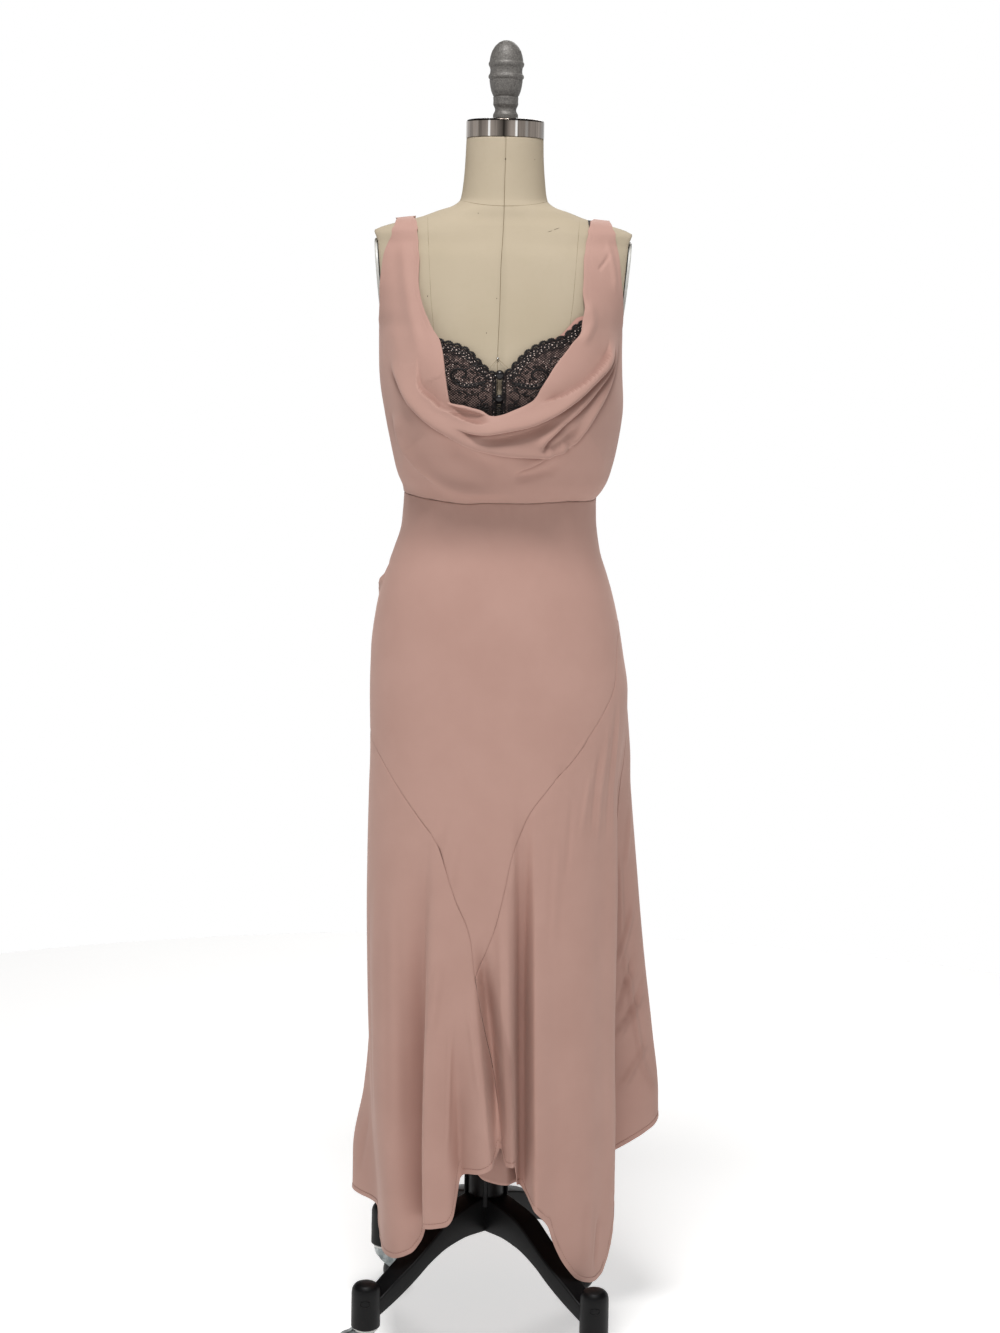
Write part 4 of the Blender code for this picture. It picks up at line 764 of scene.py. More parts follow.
def armPlateMeshes(side, name):
    # an oval plate with an eased rim and a bolt head in a shallow dish, on a dark ring
    hole = formShape["armhole"]
    lean = atan(hole["slope"])
    out = hole["x"] + (armPlate["z"] - hole["z"]) * hole["slope"] + armPlate["thick"] / 2 + 0.2 * mm
    spot = Matrix.Translation((side * out, armPlate["y"], armPlate["z"]))
    spot = spot @ Matrix.Rotation(side * lean, 4, "Y") @ Matrix.Rotation(side * pi / 2, 4, "Y")
    half = armPlate["thick"] / 2
    # shares of the plate's radius, and height over its middle
    rows = [
        (0.97, 0.0007 - half), (1.0, 0.0012 - half), (1.0, half - 0.0013), (0.97, half), (0.3, half),
        (0.27, half - 0.0012), (0.14, half - 0.0012), (0.135, half - 0.0001), (0.1, half + 0.0001),
        (0.01, half + 0.0001),
    ]
    steps = int(120 * detail)
    stretch = np.array((armPlate["halfZ"], armPlate["halfY"], 1.0))
    points, faces = turnedMesh(roundProfile(rows, 0.0009, 3), steps)
    plate = makeObject("arm_disc_" + name, moved(points * stretch, spot), faces, greyPlate)
    fileDown(plate, "plate_grey", "arm_plate_" + name)
    rows = [(1.012, -half - 0.0001), (1.012, -half + 0.0009), (0.5, -half + 0.0009), (0.5, -half - 0.0001)]
    points, faces = turnedMesh(rows, steps, True)
    darkRing = makeObject("arm_dark_ring_" + name, moved(points * stretch, spot), faces, plateDarkRing)
    fileDown(darkRing, "plate_grey")


armPlateMeshes(-1, "left")
armPlateMeshes(1, "right")
print("form, cap, finial and arm plates made")


# the bodice: two pieces cut on the bias, the front one with a draped neckline
frontBodice = [
    # inner x, inner z, outer x or turn, outer z, forward mm, columns
    (None, 1.6122, 180, 1.606, 0, 1.5), (-0.1232, 1.6092, -0.1452, 1.6054, 0, 1),
    (-0.119, 1.605, -0.1444, 1.6045, 0, 0.7), (-0.1176, 1.599, -0.1458, 1.5995, 0, 0.7),
    (-0.117, 1.593, -0.1476, 1.594, 0, 0.7), (-0.1164, 1.586, -0.1494, 1.588, 0, 1),
    (-0.115, 1.572, -0.1555, 1.575, 0, 1), (-0.1126, 1.554, -0.1605, 1.56, 0, 3),
    (-0.1074, 1.5, -0.164, 1.5262, 2, 2), (-0.0925, 1.4667, -0.162, 1.485, 5, 2),
    (-0.078, 1.4405, 180, 1.456, 9, 4), (-0.0712, 1.405, 180, 1.36, 14, 3.6),
    (-0.0668, 1.376, 180, 1.278, 17, 1), (-0.0646, 1.3672, 180, 1.256, 17.3, 1),
    (-0.058, 1.364, 180, 1.24, 17.6, 1), (-0.05, 1.3615, 180, None, 18, 2),
    (-0.033, 1.3556, 220, None, 18.5, 3), (-0.008, 1.349, 257, None, 19, 3),
    (0.019, 1.357, 288, None, 19, 3), (0.046, 1.372, 322, None, 18, 3), (0.056, 1.388, 360, None, 17, 2.5),
    (0.067, 1.407, 360, 1.28, 15, 4), (0.089, 1.439, 360, 1.37, 10, 4), (0.104, 1.466, 360, 1.45, 5, 2),
    (0.109, 1.4905, 0.162, 1.485, 3, 2), (0.1085, 1.5173, 0.16, 1.5262, 1, 4),
    (0.1098, 1.558, 0.1572, 1.56, 0, 1), (0.1122, 1.572, 0.154, 1.575, 0, 1),
    (0.1142, 1.586, 0.1506, 1.588, 0, 0.7), (0.1154, 1.593, 0.1488, 1.594, 0, 0.7),
    (0.1166, 1.599, 0.1466, 1.5995, 0, 0.7), (0.1186, 1.605, 0.144, 1.6045, 0, 1.5),
    (0.12, 1.609, 0.1436, 1.6058, 0, 1.5), (None, 1.6116, 360, 1.6068, 0, 0),
]
backBodice = [
    # inner x, inner z, outer x or turn, outer z, forward mm, columns
    (None, 1.6122, 180, 1.606, 0, 1.5), (-0.1176, 1.6092, -0.147, 1.6054, 0, 1.5),
    (-0.1155, 1.605, -0.146, 1.6045, 0, 2), (-0.113, 1.586, -0.15, 1.588, 0, 2),
    (-0.108, 1.56, -0.154, 1.565, 0, 3), (-0.101, 1.505, -0.147, 1.52, 0, 2),
    (-0.093, 1.478, -0.149, 1.489, 0, 1), (-0.086, 1.464, -0.154, 1.464, 0, 1),
    (-0.077, 1.453, 180, 1.454, 0, 2), (-0.064, 1.443, 180, 1.35, 1, 3), (-0.048, 1.435, 180, None, 1, 5),
    (-0.015, 1.43, 118, None, 1, 4), (0.015, 1.43, 62, None, 1, 5), (0.048, 1.435, 360, None, 1, 3),
    (0.064, 1.443, 360, 1.35, 1, 2), (0.077, 1.453, 360, 1.454, 0, 1), (0.086, 1.464, 0.154, 1.464, 0, 1),
    (0.093, 1.478, 0.149, 1.489, 0, 2), (0.101, 1.505, 0.147, 1.52, 0, 3),
    (0.108, 1.56, 0.154, 1.565, 0, 2), (0.113, 1.586, 0.149, 1.588, 0, 2),
    (0.118, 1.605, 0.1435, 1.6045, 0, 1.5), (0.1193, 1.609, 0.1434, 1.6058, 0, 1.5),
    (None, 1.6116, 360, 1.6068, 0, 0),
]
# how far the bodice stands off the form at its left side, right side, front and back, in mm
bodiceEase = [
    (1.228, 4.3, 8.7, 4.2, 4.2), (1.243, 5.5, 15.5, 9, 5), (1.27, 8, 20, 15, 7), (1.3, 9, 21, 18, 8),
    (1.35, 10.5, 19, 15, 6), (1.406, 11, 11, 9, 4.5), (1.461, 9.5, 7.5, 7, 3.6), (1.516, 5, 4, 4.2, 3.6),
    (1.58, 3.6, 3.6, 3.6, 3.6), (1.615, 3.6, 3.6, 3.6, 3.6),
]
dressCloth = {
    "wall": 0.8 * mm, "strapOut": 3.6 * mm, "waistOut": 4.2 * mm, "strapRise": 3.2 * mm,
    # where the edge stitches run, how wide their groove is, and how far the waist's wave reaches
    "edgeStitch": 6.5 * mm, "grooveReach": 1.1 * mm, "waveReach": 28.0 * mm,
}
waistHeight = 1.227
# how the waist seam rises and falls round the body, in mm
waistWave = rowCurve(
    [0.0, 20.0, 90.0, 160.0, 180.0, 195.0, 215.0, 235.0, 252.0, 266.0, 285.0, 300.0, 315.0, 332.0,
     345.0, 360.0],
    [6.0, 3.0, 1.0, 3.0, 7.5, 6.5, 4.0, 0.5, -2.2, 0.0, 0.0, 1.4, 2.4, 1.6, 2.0, 6.0],
)
# folds of the draped front, in mm: the shape of each, the shares of its length over which it rises
# and dies away, and its line, in x and in height over foldFoot
foldFoot = 1.3
cowlFolds = {
    "firstRoll": dict(kind="roll", height=12, lip=2.2, fall=15, droop=4.6, under=2.2, fades=(0.22, 0.2),
        line=[
        (-64, 34.7), (-49.5, 29), (-35.1, 26.2), (-18.4, 26), (-1.7, 28), (17.4, 31.4), (36.5, 35.3),
        (53.1, 40.9), (72, 50.3), (88.5, 60.8), (103.8, 73), (116.6, 85.1), (129.4, 98.8), (139.9, 110.9),
        (149.1, 125.2), (154.7, 138.3), (157, 155),
    ]),
    "secondRoll": dict(kind="roll", height=15, lip=2.3, fall=21, droop=5, under=3.4, fades=(0.24, 0.06),
        line=[
        (-152, 123), (-148.6, 104.4), (-138.8, 88), (-126.7, 70.4), (-114.5, 56.4), (-102.4, 44.7),
        (-87.9, 34.3), (-73.4, 25.5), (-54.1, 15.3), (-39.6, 9.4), (-25.2, 4.9), (-6, 0.9), (13.2, -1.6),
        (37.2, -2.6), (65.9, -0.6), (82.6, 3), (97.5, 5),
    ]),
    "thirdRoll": dict(kind="roll", height=8.5, lip=2.4, fall=11, droop=3, under=3, fades=(0.2, 0.22),
        line=[
        (56.3, 3), (58.1, 9.5), (62, 16), (72.6, 25.3), (89, 39.4), (105.4, 54), (119.4, 68.5),
        (133.3, 85.9), (144.8, 103.1), (152.8, 119.4), (157.2, 133.7),
    ]),
    "sideRoll": dict(kind="roll", height=8, lip=2.8, fall=12, droop=2.4, under=1.6, fades=(0.08, 0.3),
        line=[
        (95, 3.5), (108.6, 18.8), (120.2, 34.5), (131.7, 52.5), (142.1, 70.6), (150, 88.5), (155.5, 105.2),
        (159.1, 124.2), (160.6, 138.4), (161, 160),
    ]),
    "leftReturn": dict(kind="step", height=8.5, lip=2.4, reach=21, fades=(0.4, 0.22), line=[
        (-115.6, 133.4), (-112.4, 107.5), (-109.7, 88.5), (-102.9, 78), (-92, 68.7), (-78.7, 57),
        (-64.2, 50.9), (-49.8, 43.3), (-30.6, 38.2), (-18.6, 39), (-8, 43),
    ]),
    "rightReturn": dict(kind="step", height=6, lip=2, reach=11, fades=(0.14, 0.24), line=[
        (48, 62.5), (71.6, 71), (85.8, 77.2), (99.9, 85.8), (111.6, 94.3), (123.3, 105.2), (132.6, 116),
        (140.7, 127), (146.4, 138.2), (149, 156),
    ]),
    "centrePocket": dict(kind="soft", height=-7, above=3.6, below=6.5, fades=(0.28, 0.3), line=[
        (-40, 19), (-18.3, 19), (-1.5, 19.2), (17.6, 21.9), (36.6, 26.8), (55.6, 34), (72.2, 43.1),
        (86, 53),
    ]),
    "rightPocket": dict(kind="soft", height=-4, above=4, below=6, fades=(0.2, 0.35), line=[
        (64, 7), (75.2, 14.5), (87, 20.8), (101.2, 30.6), (115, 44),
    ]),
    "lowTuck": dict(kind="roll", height=8.5, lip=4, fall=15, droop=1.6, under=1.6, fades=(0.4, 0.2),
        line=[
        (21, -37), (30.5, -28.1), (42.4, -22.6), (56.6, -15.2), (66.1, -7.8), (76, -2.5),
    ]),
    "lowDip": dict(kind="soft", height=-4.5, above=5, below=7, fades=(0.3, 0.4), line=[
        (16.4, -39.1), (30.7, -35.8), (47.4, -32), (70, -24), (95, -10),
    ]),
    "swagDip": dict(kind="soft", height=-7, above=9, below=14, fades=(0.35, 0.35), line=[
        (-90, 23), (-66.1, 9), (-49.1, -2.5), (-29.7, -12.4), (-10.4, -21.7), (20, -24),
    ]),
    "lowSwell": dict(kind="soft", height=6, above=11, below=9, fades=(0.3, 0.3), line=[
        (-137.9, 19), (-125.7, 0.1), (-101.4, -28.1), (-77.1, -46.3), (-50, -56), (-10, -60), (30, -58),
    ]),
    "leftPuff": dict(kind="roll", height=8.5, lip=5, fall=18, droop=1.6, under=1.4, fades=(0.15, 0.35),
        line=[
        (-150, 50), (-145.7, 28.4), (-141.4, 9.4), (-134.1, -2.4), (-123.1, -15.3), (-108.5, -30.6),
        (-94, -43.6), (-77, -56.5),
    ]),
    "leftStrapDip": dict(kind="soft", height=-0.8, above=8, below=7, fades=(0.2, 0.2), line=[
        (-146, 295), (-148, 270), (-147.9, 244.8), (-144.7, 223.1), (-143, 201.4), (-139.7, 179.6),
        (-136.5, 157.8), (-132.6, 136), (-129, 115),
    ]),
    "leftStrapSwell": dict(kind="soft", height=2.6, above=8, below=8, fades=(0.2, 0.25), line=[
        (-134, 285.4), (-133.5, 265.2), (-132.2, 245), (-129.5, 223.4), (-125.8, 201.7), (-122.1, 179.9),
        (-115.9, 158.2), (-111.2, 136.4), (-104, 110),
    ]),
    "rightStrapDip": dict(kind="soft", height=-0.6, above=7, below=6, fades=(0.2, 0.2), line=[
        (117.2, 230.8), (126.3, 220.8), (136.8, 209.3), (143, 197.8), (144.8, 183.3), (142.2, 168.7),
        (139.5, 157), (135.4, 145.3), (126.9, 133.4),
    ]),
    "rightStrapSwell": dict(kind="soft", height=3.6, above=7, below=7, fades=(0.25, 0.25), line=[
        (113.4, 206), (119.7, 188.7), (121.5, 172.7), (116, 158), (108, 140),
    ]),
    "rightCrease": dict(kind="soft", height=-1.7, above=2.2, below=2.6, fades=(0.3, 0.3), line=[
        (129, 242), (132.9, 247.7), (138.6, 255), (143.5, 263.1), (145.5, 272),
    ]),
    "rightLongSwell": dict(kind="soft", height=1.8, above=4, below=4, fades=(0.3, 0.3), line=[
        (140, 290.5), (145, 270.4), (150, 250.3), (153, 228.6), (154, 206.8),
    ]),
}
bodiceCurves = [tableCurve(bodiceEase, i) for i in range(1, 5)]


def standOff(turn, z):
    left, right, front, back = (curve(z) * mm for curve in bodiceCurves)
    cosine, sine = np.cos(np.radians(turn)), np.sin(np.radians(turn))
    side = np.where(cosine > 0, right, left)
    face = np.where(sine > 0, back, front)
    return side * cosine * cosine + face * sine * sine


def edgeRows(table, front):
    rows, spot = [], 0.0
    last = 360.0 if front else 0.0
    for i, (inX, inZ, out, outZ, forward, columns) in enumerate(table):
        end = 180.0 if i == 0 else last
        outTurn = last if out == 360 else out
        if abs(out) < 1:  # an x in metres, and not a turn in degrees
            outTurn = float(formTurn(out, outZ, front))
        rows.append((
            spot, end if inX is None else float(formTurn(inX, inZ, front)), inZ, outTurn,
            waistHeight + 0.15 * mm if outZ is None else outZ, forward * mm,
        ))
        spot += columns
    return {"curves": [tableCurve(rows, k) for k in range(1, 6)], "count": rows[-1][0], "front": front}


def nearLine(points, line):
    # for each point: its distance to the line, the side it lies on and how far along the line it is
    best = np.full(points.shape[:-1], np.inf)
    side, share = np.ones(best.shape), np.zeros(best.shape)
    for i, step in enumerate(np.diff(line, axis=0)):
        away = points - line[i]
        s = np.clip((away @ step) / (step @ step), 0, 1)
        rest = away - s[..., None] * step
        gap = np.linalg.norm(rest, axis=-1)
        closer = gap < best
        best = np.where(closer, gap, best)
        side = np.where(closer, np.sign(step[0] * rest[..., 1] - step[1] * rest[..., 0]), side)
        share = np.where(closer, (i + s) / (len(line) - 1), share)
    return best, side, share


def foldRelief(points, folds):
    # how far each fold lifts the cloth, how far its roll hangs over the line beneath it, and the painted
    # shade in it
    flat = points.reshape(-1, 3)[:, (0, 2)]
    lift, drop, depth = np.zeros(len(flat)), np.zeros(len(flat)), np.zeros(len(flat))
    for fold in folds.values():
        line = smoothLine(np.array(fold["line"]) * mm + (0, foldFoot), 48)
        gap, side, share = nearLine(flat, line)
        gap = gap / mm
        fade = easeIn(share / fold["fades"][0]) * easeIn((1 - share) / fold["fades"][1])
        if fold["kind"] == "soft":
            reach = np.where(side > 0, fold["above"], fold["below"])
            lift += fold["height"] * mm * fade * bell(gap / reach)
        elif fold["kind"] == "step":
            sunk = easeIn(gap / fold["lip"]) * np.exp(-(gap / fold["reach"]) ** 1.5)
            crest = 0.3 * np.exp(-(gap / 6.0) ** 1.5)
            lift += fold["height"] * mm * fade * np.where(side > 0, -sunk + crest * (gap < 0.3), crest)
            # painted shade on the sunk side, just beside the step
            depth += 0.55 * fade * np.where(side > 0, bell((gap - 1.2) / 2.8), 0)
        else:
            rise = (1 - np.exp(-(gap / fold["lip"]) ** 1.5)) * np.exp(-(gap / fold["fall"]) ** 1.7)
            lift += np.where(side > 0, fold["height"] * mm * fade * rise, 0)
            lift -= fold["under"] * mm * fade * np.exp(-gap / 3.0)
            hang = (1 - bell(gap / (0.5 * fold["lip"]))) * bell(gap / (2.6 * fold["lip"]))
            drop += np.where(side > 0, fold["droop"] * mm * fade * hang, 0)
            # painted shade lies under the part of the roll that hangs over the line
            shaded = 0.7 * fold["droop"] + 1.6
            dark = np.where(side > 0, bell(gap / 1.0), bell(gap / shaded))
            depth += 0.11 * fold["height"] * fade * dark * np.clip(4.0 / fold["lip"] - 0.5, 0.2, 1)
    return (part.reshape(points.shape[:-1]) for part in (lift, drop, depth))


def bodiceSheet(name, table, front, folds, size, cut):
    piece = edgeRows(table, front)
    fewest = 24
    columns, rows = (max(int(k * detail), fewest) for k in size)
    at = np.linspace(0, piece["count"], columns)
    edge = np.array([0.0, 0.35, 0.8, 1.4, 2.2, 3.4]) / 100
    # rows lie closer in the upper part, where the folds are
    share = np.linspace(0, 1, rows)
    share = share * (1 - cut["crowd"]) + cut["crowd"] * share ** 1.8
    v = np.concatenate([edge, 0.045 + 0.91 * share, 1 - edge[::-1]])
    innerTurn, innerZ, outerTurn, outerZ, forward = (curve(at)[None, :] for curve in piece["curves"])
    v = v[:, None]
    turn = innerTurn + (outerTurn - innerTurn) * v
    z = innerZ + (outerZ - innerZ) * v
    least = np.where(z < 1.3, dressCloth["waistOut"], dressCloth["strapOut"])
    out = np.maximum(standOff(turn, z), least)
    out = out + forward * (1 - easeIn(v / 0.75)) + dressCloth["strapRise"] * v * easeIn((z - 1.57) / 0.03)
    base = onForm(turn, z, out)
    away = surfaceNormal(formSurface, turn, z)
    normals = unit(gridNormals(base) * 0.6 + away * 0.4)
    # small swells of the hanging cloth, and gathers that run up from the waist seam
    toWaist = np.abs(z - waistHeight)
    swell = softNoise(base, 0.035, 5, (1.0, 1.0, 1.6)) * 0.7 * mm
    gathers = cut["gathers"] * mm * np.exp(-toWaist / 0.016)
    lift = swell * easeIn(v / 0.06) + gathers * softNoise(base, 0.011, 11, (1.0, 1.0, 6.0))
    drop, depth = np.zeros(base.shape[:2]), np.zeros(base.shape[:2])
    if folds:
        more, drop, depth = foldRelief(base, folds)
        # the folds die away at the outer seam and at the waist
        hold = easeIn((1 - v) / 0.1 + 0.15) * easeIn(toWaist / 0.018)
        # right of the sunk left panel they leave the rolled edge of the neckline alone
        hold = hold * (1 - easeIn((at - cut["corner"]) / 3.0) * (1 - easeIn(v / 0.03 + 0.25)))
        lift = lift + more * hold
        drop = drop * hold
        depth = np.clip(depth, 0, 0.6) * easeIn((1 - v) / 0.1) * easeIn(v / 0.03)
    # turned and stitched edges: a soft roll at the edge and a groove where the stitches pull
    width = np.linalg.norm(base[-1] - base[0], axis=-1)[None, :]
    fromNeck, fromOuter = v * width, (1 - v) * width
    atWaist = (outerZ < waistHeight + 0.002) & (v > 0.5)
    stitch, reach = dressCloth["edgeStitch"], dressCloth["grooveReach"]
    groove = bell((fromNeck - stitch) / reach) + np.where(atWaist, 0, bell((fromOuter - stitch) / reach))
    groove = cut["stitchDip"] * mm * groove
    seamDip = np.where(atWaist, 0.9 * mm * np.exp(-fromOuter / 0.0012), 0)
    grid = base + normals * (lift - groove - seamDip)[..., None]
    grid[..., 2] -= drop
    grid[..., 2] += waistWave(turn) * mm * bell(toWaist / dressCloth["waveReach"])
    # painted shade: a thin dark line along the waist seam, with the folds' painted shade
    shade = 0.16 * np.where(atWaist, np.exp(-fromOuter / 0.0008), 0) + depth
    full = gridNormals(grid)
    # the neckline turns under: a small roll, then a facing that lies inside
    atCowl = easeIn(forward[0] / 0.015)
    roll, facing = ((low + (high - low) * atCowl) * mm for low, high in (cut["neckRoll"], cut["facing"]))
    downward = unit(grid[6] - grid[0])
    turned = []
    for k in (1.0, 0.75, 0.5, 0.25):
        strip = np.array([
            readAlong(facing[j] * k, lengthAlong(grid[:40, j]), np.hstack([grid[:40, j], full[:40, j]]))
            for j in range(columns)
        ])
        turned.append(strip[:, :3] - unit(strip[:, 3:]) * (2 * roll[:, None]))
    for k in range(1, 7):
        angle = pi * (1 - k / 7)
        spot = grid[0] - full[1] * (roll * (1 - cos(angle)))[:, None]
        turned.append(spot - downward * (roll * sin(angle))[:, None])
    outer = np.concatenate([np.array(turned), grid])
    shade = np.concatenate([np.zeros((len(turned), grid.shape[1])), shade])
    item = clothWall(name + "_cloth", outer, dressCloth["wall"], roseCrepe, shade)
    fileDown(item, "rose_crepe", name)


bodiceCut = {
    # mm: the stitch groove, the neckline's roll and facing at the straps and at the lowest point
    "front": {"stitchDip": 0.1, "neckRoll": (0.9, 2.2), "facing": (5, 18), "gathers": 1.5,
              "crowd": 0.6, "corner": 22},
    "back": {"stitchDip": 0.1, "neckRoll": (0.9, 1.1), "facing": (5, 9), "gathers": 0.8,
             "crowd": 0},
}
bodiceSheet("bodice_front", frontBodice, True, cowlFolds, (300, 128), bodiceCut["front"])
bodiceSheet("bodice_back", backBodice, False, None, (120, 60), bodiceCut["back"])
print("bodice made")


# the skirt: a front panel ending in a point, two bias godets and a back panel
skirtShape = {
    "sections": [
        # z, left, right, front, back
        (1.24, 0.133, 0.135, 0.1005, 0.0835), (1.227, 0.133, 0.1352, 0.1008, 0.0838),
        (1.19, 0.1358, 0.1385, 0.1012, 0.087), (1.154, 0.1465, 0.1445, 0.105, 0.096),
        (1.126, 0.1565, 0.1535, 0.109, 0.106), (1.097, 0.1645, 0.1625, 0.113, 0.115),
        (1.069, 0.1702, 0.1695, 0.1165, 0.122), (1.012, 0.1768, 0.18, 0.1225, 0.135),
        (0.955, 0.1778, 0.188, 0.126, 0.142), (0.868, 0.176, 0.183, 0.13, 0.146),
        (0.81, 0.1775, 0.177, 0.134, 0.148), (0.693, 0.179, 0.1745, 0.142, 0.152),
        (0.576, 0.1778, 0.1745, 0.15, 0.156), (0.457, 0.174, 0.1755, 0.156, 0.16),
        (0.337, 0.1685, 0.178, 0.161, 0.164), (0.2, 0.1575, 0.179, 0.165, 0.167),
        (0.1, 0.1555, 0.178, 0.166, 0.168),
    ],
    "power": 2.2,
    # turn is 0 at the right side, 90 at the back, 180 at the left side and 270 at the front
    "folds": [
        # name, turn at top, turn at hem, z start, z full, depth mm, width low, width high, sharpness,
        # lean mm along the hem
        ("leftColumn", 214, 217, 0.8, 0.35, 12, 14, 11, 2, 0),
        ("leftValley", 241.5, 235.5, 0.8, 0.42, -33, 8.5, 3, 2.2, 0),
        ("leftFlute", 248.5, 242.5, 0.74, 0.4, 15, 3.2, 8, 2, -4),
        ("smallValley", 258, 259, 0.52, 0.3, -17, 3, 4.5, 2, 0),
        ("pointFlute", 262, 270.5, 0.6, 0.36, 20, 6, 3, 2.4, 7),
        ("pointValley", 266.4, 277, 0.64, 0.52, -26, 2.4, 2.6, 2.2, 0),
        ("tubeFold", 273, 279.6, 0.78, 0.48, 15, 3, 2.9, 3.4, 0),
        ("deepValley", 281.3, 285.2, 0.86, 0.48, -34, 3.3, 3.9, 3.4, 0),
        ("panelShoulder", 288, 290.5, 0.8, 0.45, 9, 2.6, 8, 2, -1),
        ("panelCrown", 318, 320, 0.8, 0.25, 7, 18, 16, 2, 0),
        ("rightEdge", 343.5, 343.5, 0.92, 0.65, 11, 9, 3.4, 2.4, 3),
        ("rightValley", 353.5, 354.5, 0.92, 0.55, -32, 5, 8, 2.2, 0),
        ("backFoldA", 42, 44, 0.7, 0.33, -14, 10, 10, 2, 0),
        ("backFoldB", 66, 66, 0.78, 0.33, 12, 11, 10, 2, 3),
        ("backFoldC", 89, 88, 0.74, 0.33, -16, 10, 10, 2, 0),
        ("backFoldD", 110, 110, 0.78, 0.33, 12, 10, 10, 2, -3),
        ("backFoldE", 132, 134, 0.7, 0.3, -12, 10, 10, 2, 0),
    ],
    # folds that close again near the hem: z where gone, z where whole
    "closes": {"pointValley": (0.335, 0.42)},
    # the back panel swings out past the front at both sides; reach in mm at each height
    "flares": [
        ("rightFlare", 14, 12, 17, (1, 20, 34, 46, 58, 70, 80, 81, 81)),
        ("leftFlare", 160, 17, 10, (0, 0, 0, 0, 2, 10, 24, 50, 57)),
    ],
    "flareHeights": (0.95, 0.85, 0.75, 0.65, 0.55, 0.45, 0.35, 0.25, 0.15),
}
hemLine = [
    # turn, z
    (0, 0.275), (8, 0.3), (16, 0.317), (24, 0.314), (45, 0.292), (90, 0.262), (135, 0.228), (150, 0.205),
    (159, 0.19), (168, 0.187), (180, 0.187), (190, 0.173), (200, 0.161), (210, 0.155), (219, 0.155),
    (227, 0.162), (231.5, 0.178), (234.5, 0.2), (237.5, 0.2145), (245, 0.2155), (252, 0.218),
    (255.5, 0.229), (257.5, 0.262), (259, 0.285), (262, 0.294), (266, 0.301), (270, 0.31), (273, 0.322),
    (275.2, 0.335), (276.2, 0.322), (277.2, 0.313), (279, 0.311), (280.9, 0.309), (281.8, 0.292),
    (282.6, 0.274), (284.2, 0.269), (286, 0.262), (288, 0.254), (291, 0.241), (294.5, 0.229), (297, 0.218),
    (299.4, 0.197), (304, 0.168), (309, 0.147), (313.5, 0.133), (318, 0.126), (323, 0.121), (328, 0.1185),
    (333, 0.123), (337.5, 0.142), (341, 0.172), (348, 0.235), (355, 0.262), (360, 0.275),
]
pointTurn, pointHeight = 264.8, 0.5715  # where the two front seams meet
leftSeam = [
    # x, z
    (-0.1702, 0.8855), (-0.1552, 0.8613), (-0.1297, 0.8248), (-0.1006, 0.7879), (-0.0762, 0.7562),
    (-0.0616, 0.7154), (-0.05, 0.6815), (-0.0282, 0.6278),
]
rightSeam = [
    # x, z
    (0.1699, 1.033), (0.166, 0.97), (0.15, 0.934), (0.1325, 0.9061), (0.112, 0.8761), (0.0915, 0.8538),
    (0.0713, 0.8292), (0.0512, 0.8018), (0.0367, 0.7675), (0.0275, 0.7404), (0.0187, 0.698), (0.009, 0.656),
    (-0.004, 0.6142),
]
centreSeam = rowCurve([0.5715, 0.5, 0.42, 0.34, 0.26], [264.8, 268.5, 272.5, 275.5, 276.6])
skirtCurves = [tableCurve(skirtShape["sections"], i) for i in range(1, 5)]
hemHeight = tableCurve(hemLine, 1)
flareReach = {row[0]: rowCurve(skirtShape["flareHeights"], row[4]) for row in skirtShape["flares"]}


def skirtSurface(turn, z):
    turn, z = np.broadcast_arrays(*asFloats(turn, z))
    left, right, front, back = (curve(z) for curve in skirtCurves)
    reach, lean = np.zeros(turn.shape), np.zeros(turn.shape)
    for name, top, hem, start, full, depth, low, high, power, slide in skirtShape["folds"]:
        grow = easeIn((start - z) / (start - full))
        if name in skirtShape["closes"]:
            gone, whole = skirtShape["closes"][name]
            grow = grow * easeIn((z - gone) / (whole - gone))
        centre = top + (hem - top) * np.clip((start - z) / (start - 0.25), 0, 1)
        crest = sidedBump(turnGap(turn, centre), low, high, power)
        reach = reach + depth * mm * grow * crest
        lean = lean + slide * mm * grow * crest
    for name, centre, low, high, _ in skirtShape["flares"]:
        reach = reach + flareReach[name](z) * mm * sidedBump(turnGap(turn, centre), low, high)
    x, y, cosine, sine = ovalPoint(turn, left, right, front, back, skirtShape["power"])
    way = unit(np.stack([cosine * np.abs(cosine), sine, np.zeros(turn.shape)], -1))
    sideways = np.stack([-way[..., 1], way[..., 0], way[..., 2]], -1)
    point = np.stack([x, y, z], -1) + way * reach[..., None] + sideways * lean[..., None]
    share = easeIn((z - 1.19) / 0.03)[..., None]
    high = onForm(turn, z, standOff(turn, np.minimum(z, 1.228)))
    return point * (1 - share) + high * share


def seamTurns(rows, startTurn, startHeight):
    turns, heights = [startTurn], [startHeight]
    for x, z in rows:
        half = skirtCurves[0](z) if x < 0 else skirtCurves[1](z)
        turns.append(float(turnAt(x, half, skirtShape["power"])))
        heights.append(z)
    return rowCurve(turns + [pointTurn], heights + [pointHeight])


leftSeamHeight = seamTurns(leftSeam, 180.0, 0.9)
rightSeamHeight = seamTurns(rightSeam, 360.0, 1.06)


def frontSeam(turn):
    return np.where(np.asarray(turn) <= pointTurn, leftSeamHeight(turn), rightSeamHeight(turn))


def followCentre(turn, z):
    # the columns near the point follow the centre seam as it drifts down
    shift = np.where(np.asarray(z) < pointHeight, centreSeam(z) - pointTurn, 0.0)
    low = easeIn((turn - 236.0) / (pointTurn - 236.0))
    high = easeIn((296.0 - turn) / (296.0 - pointTurn))
    return turn + shift * np.where(np.asarray(turn) <= pointTurn, low, high)


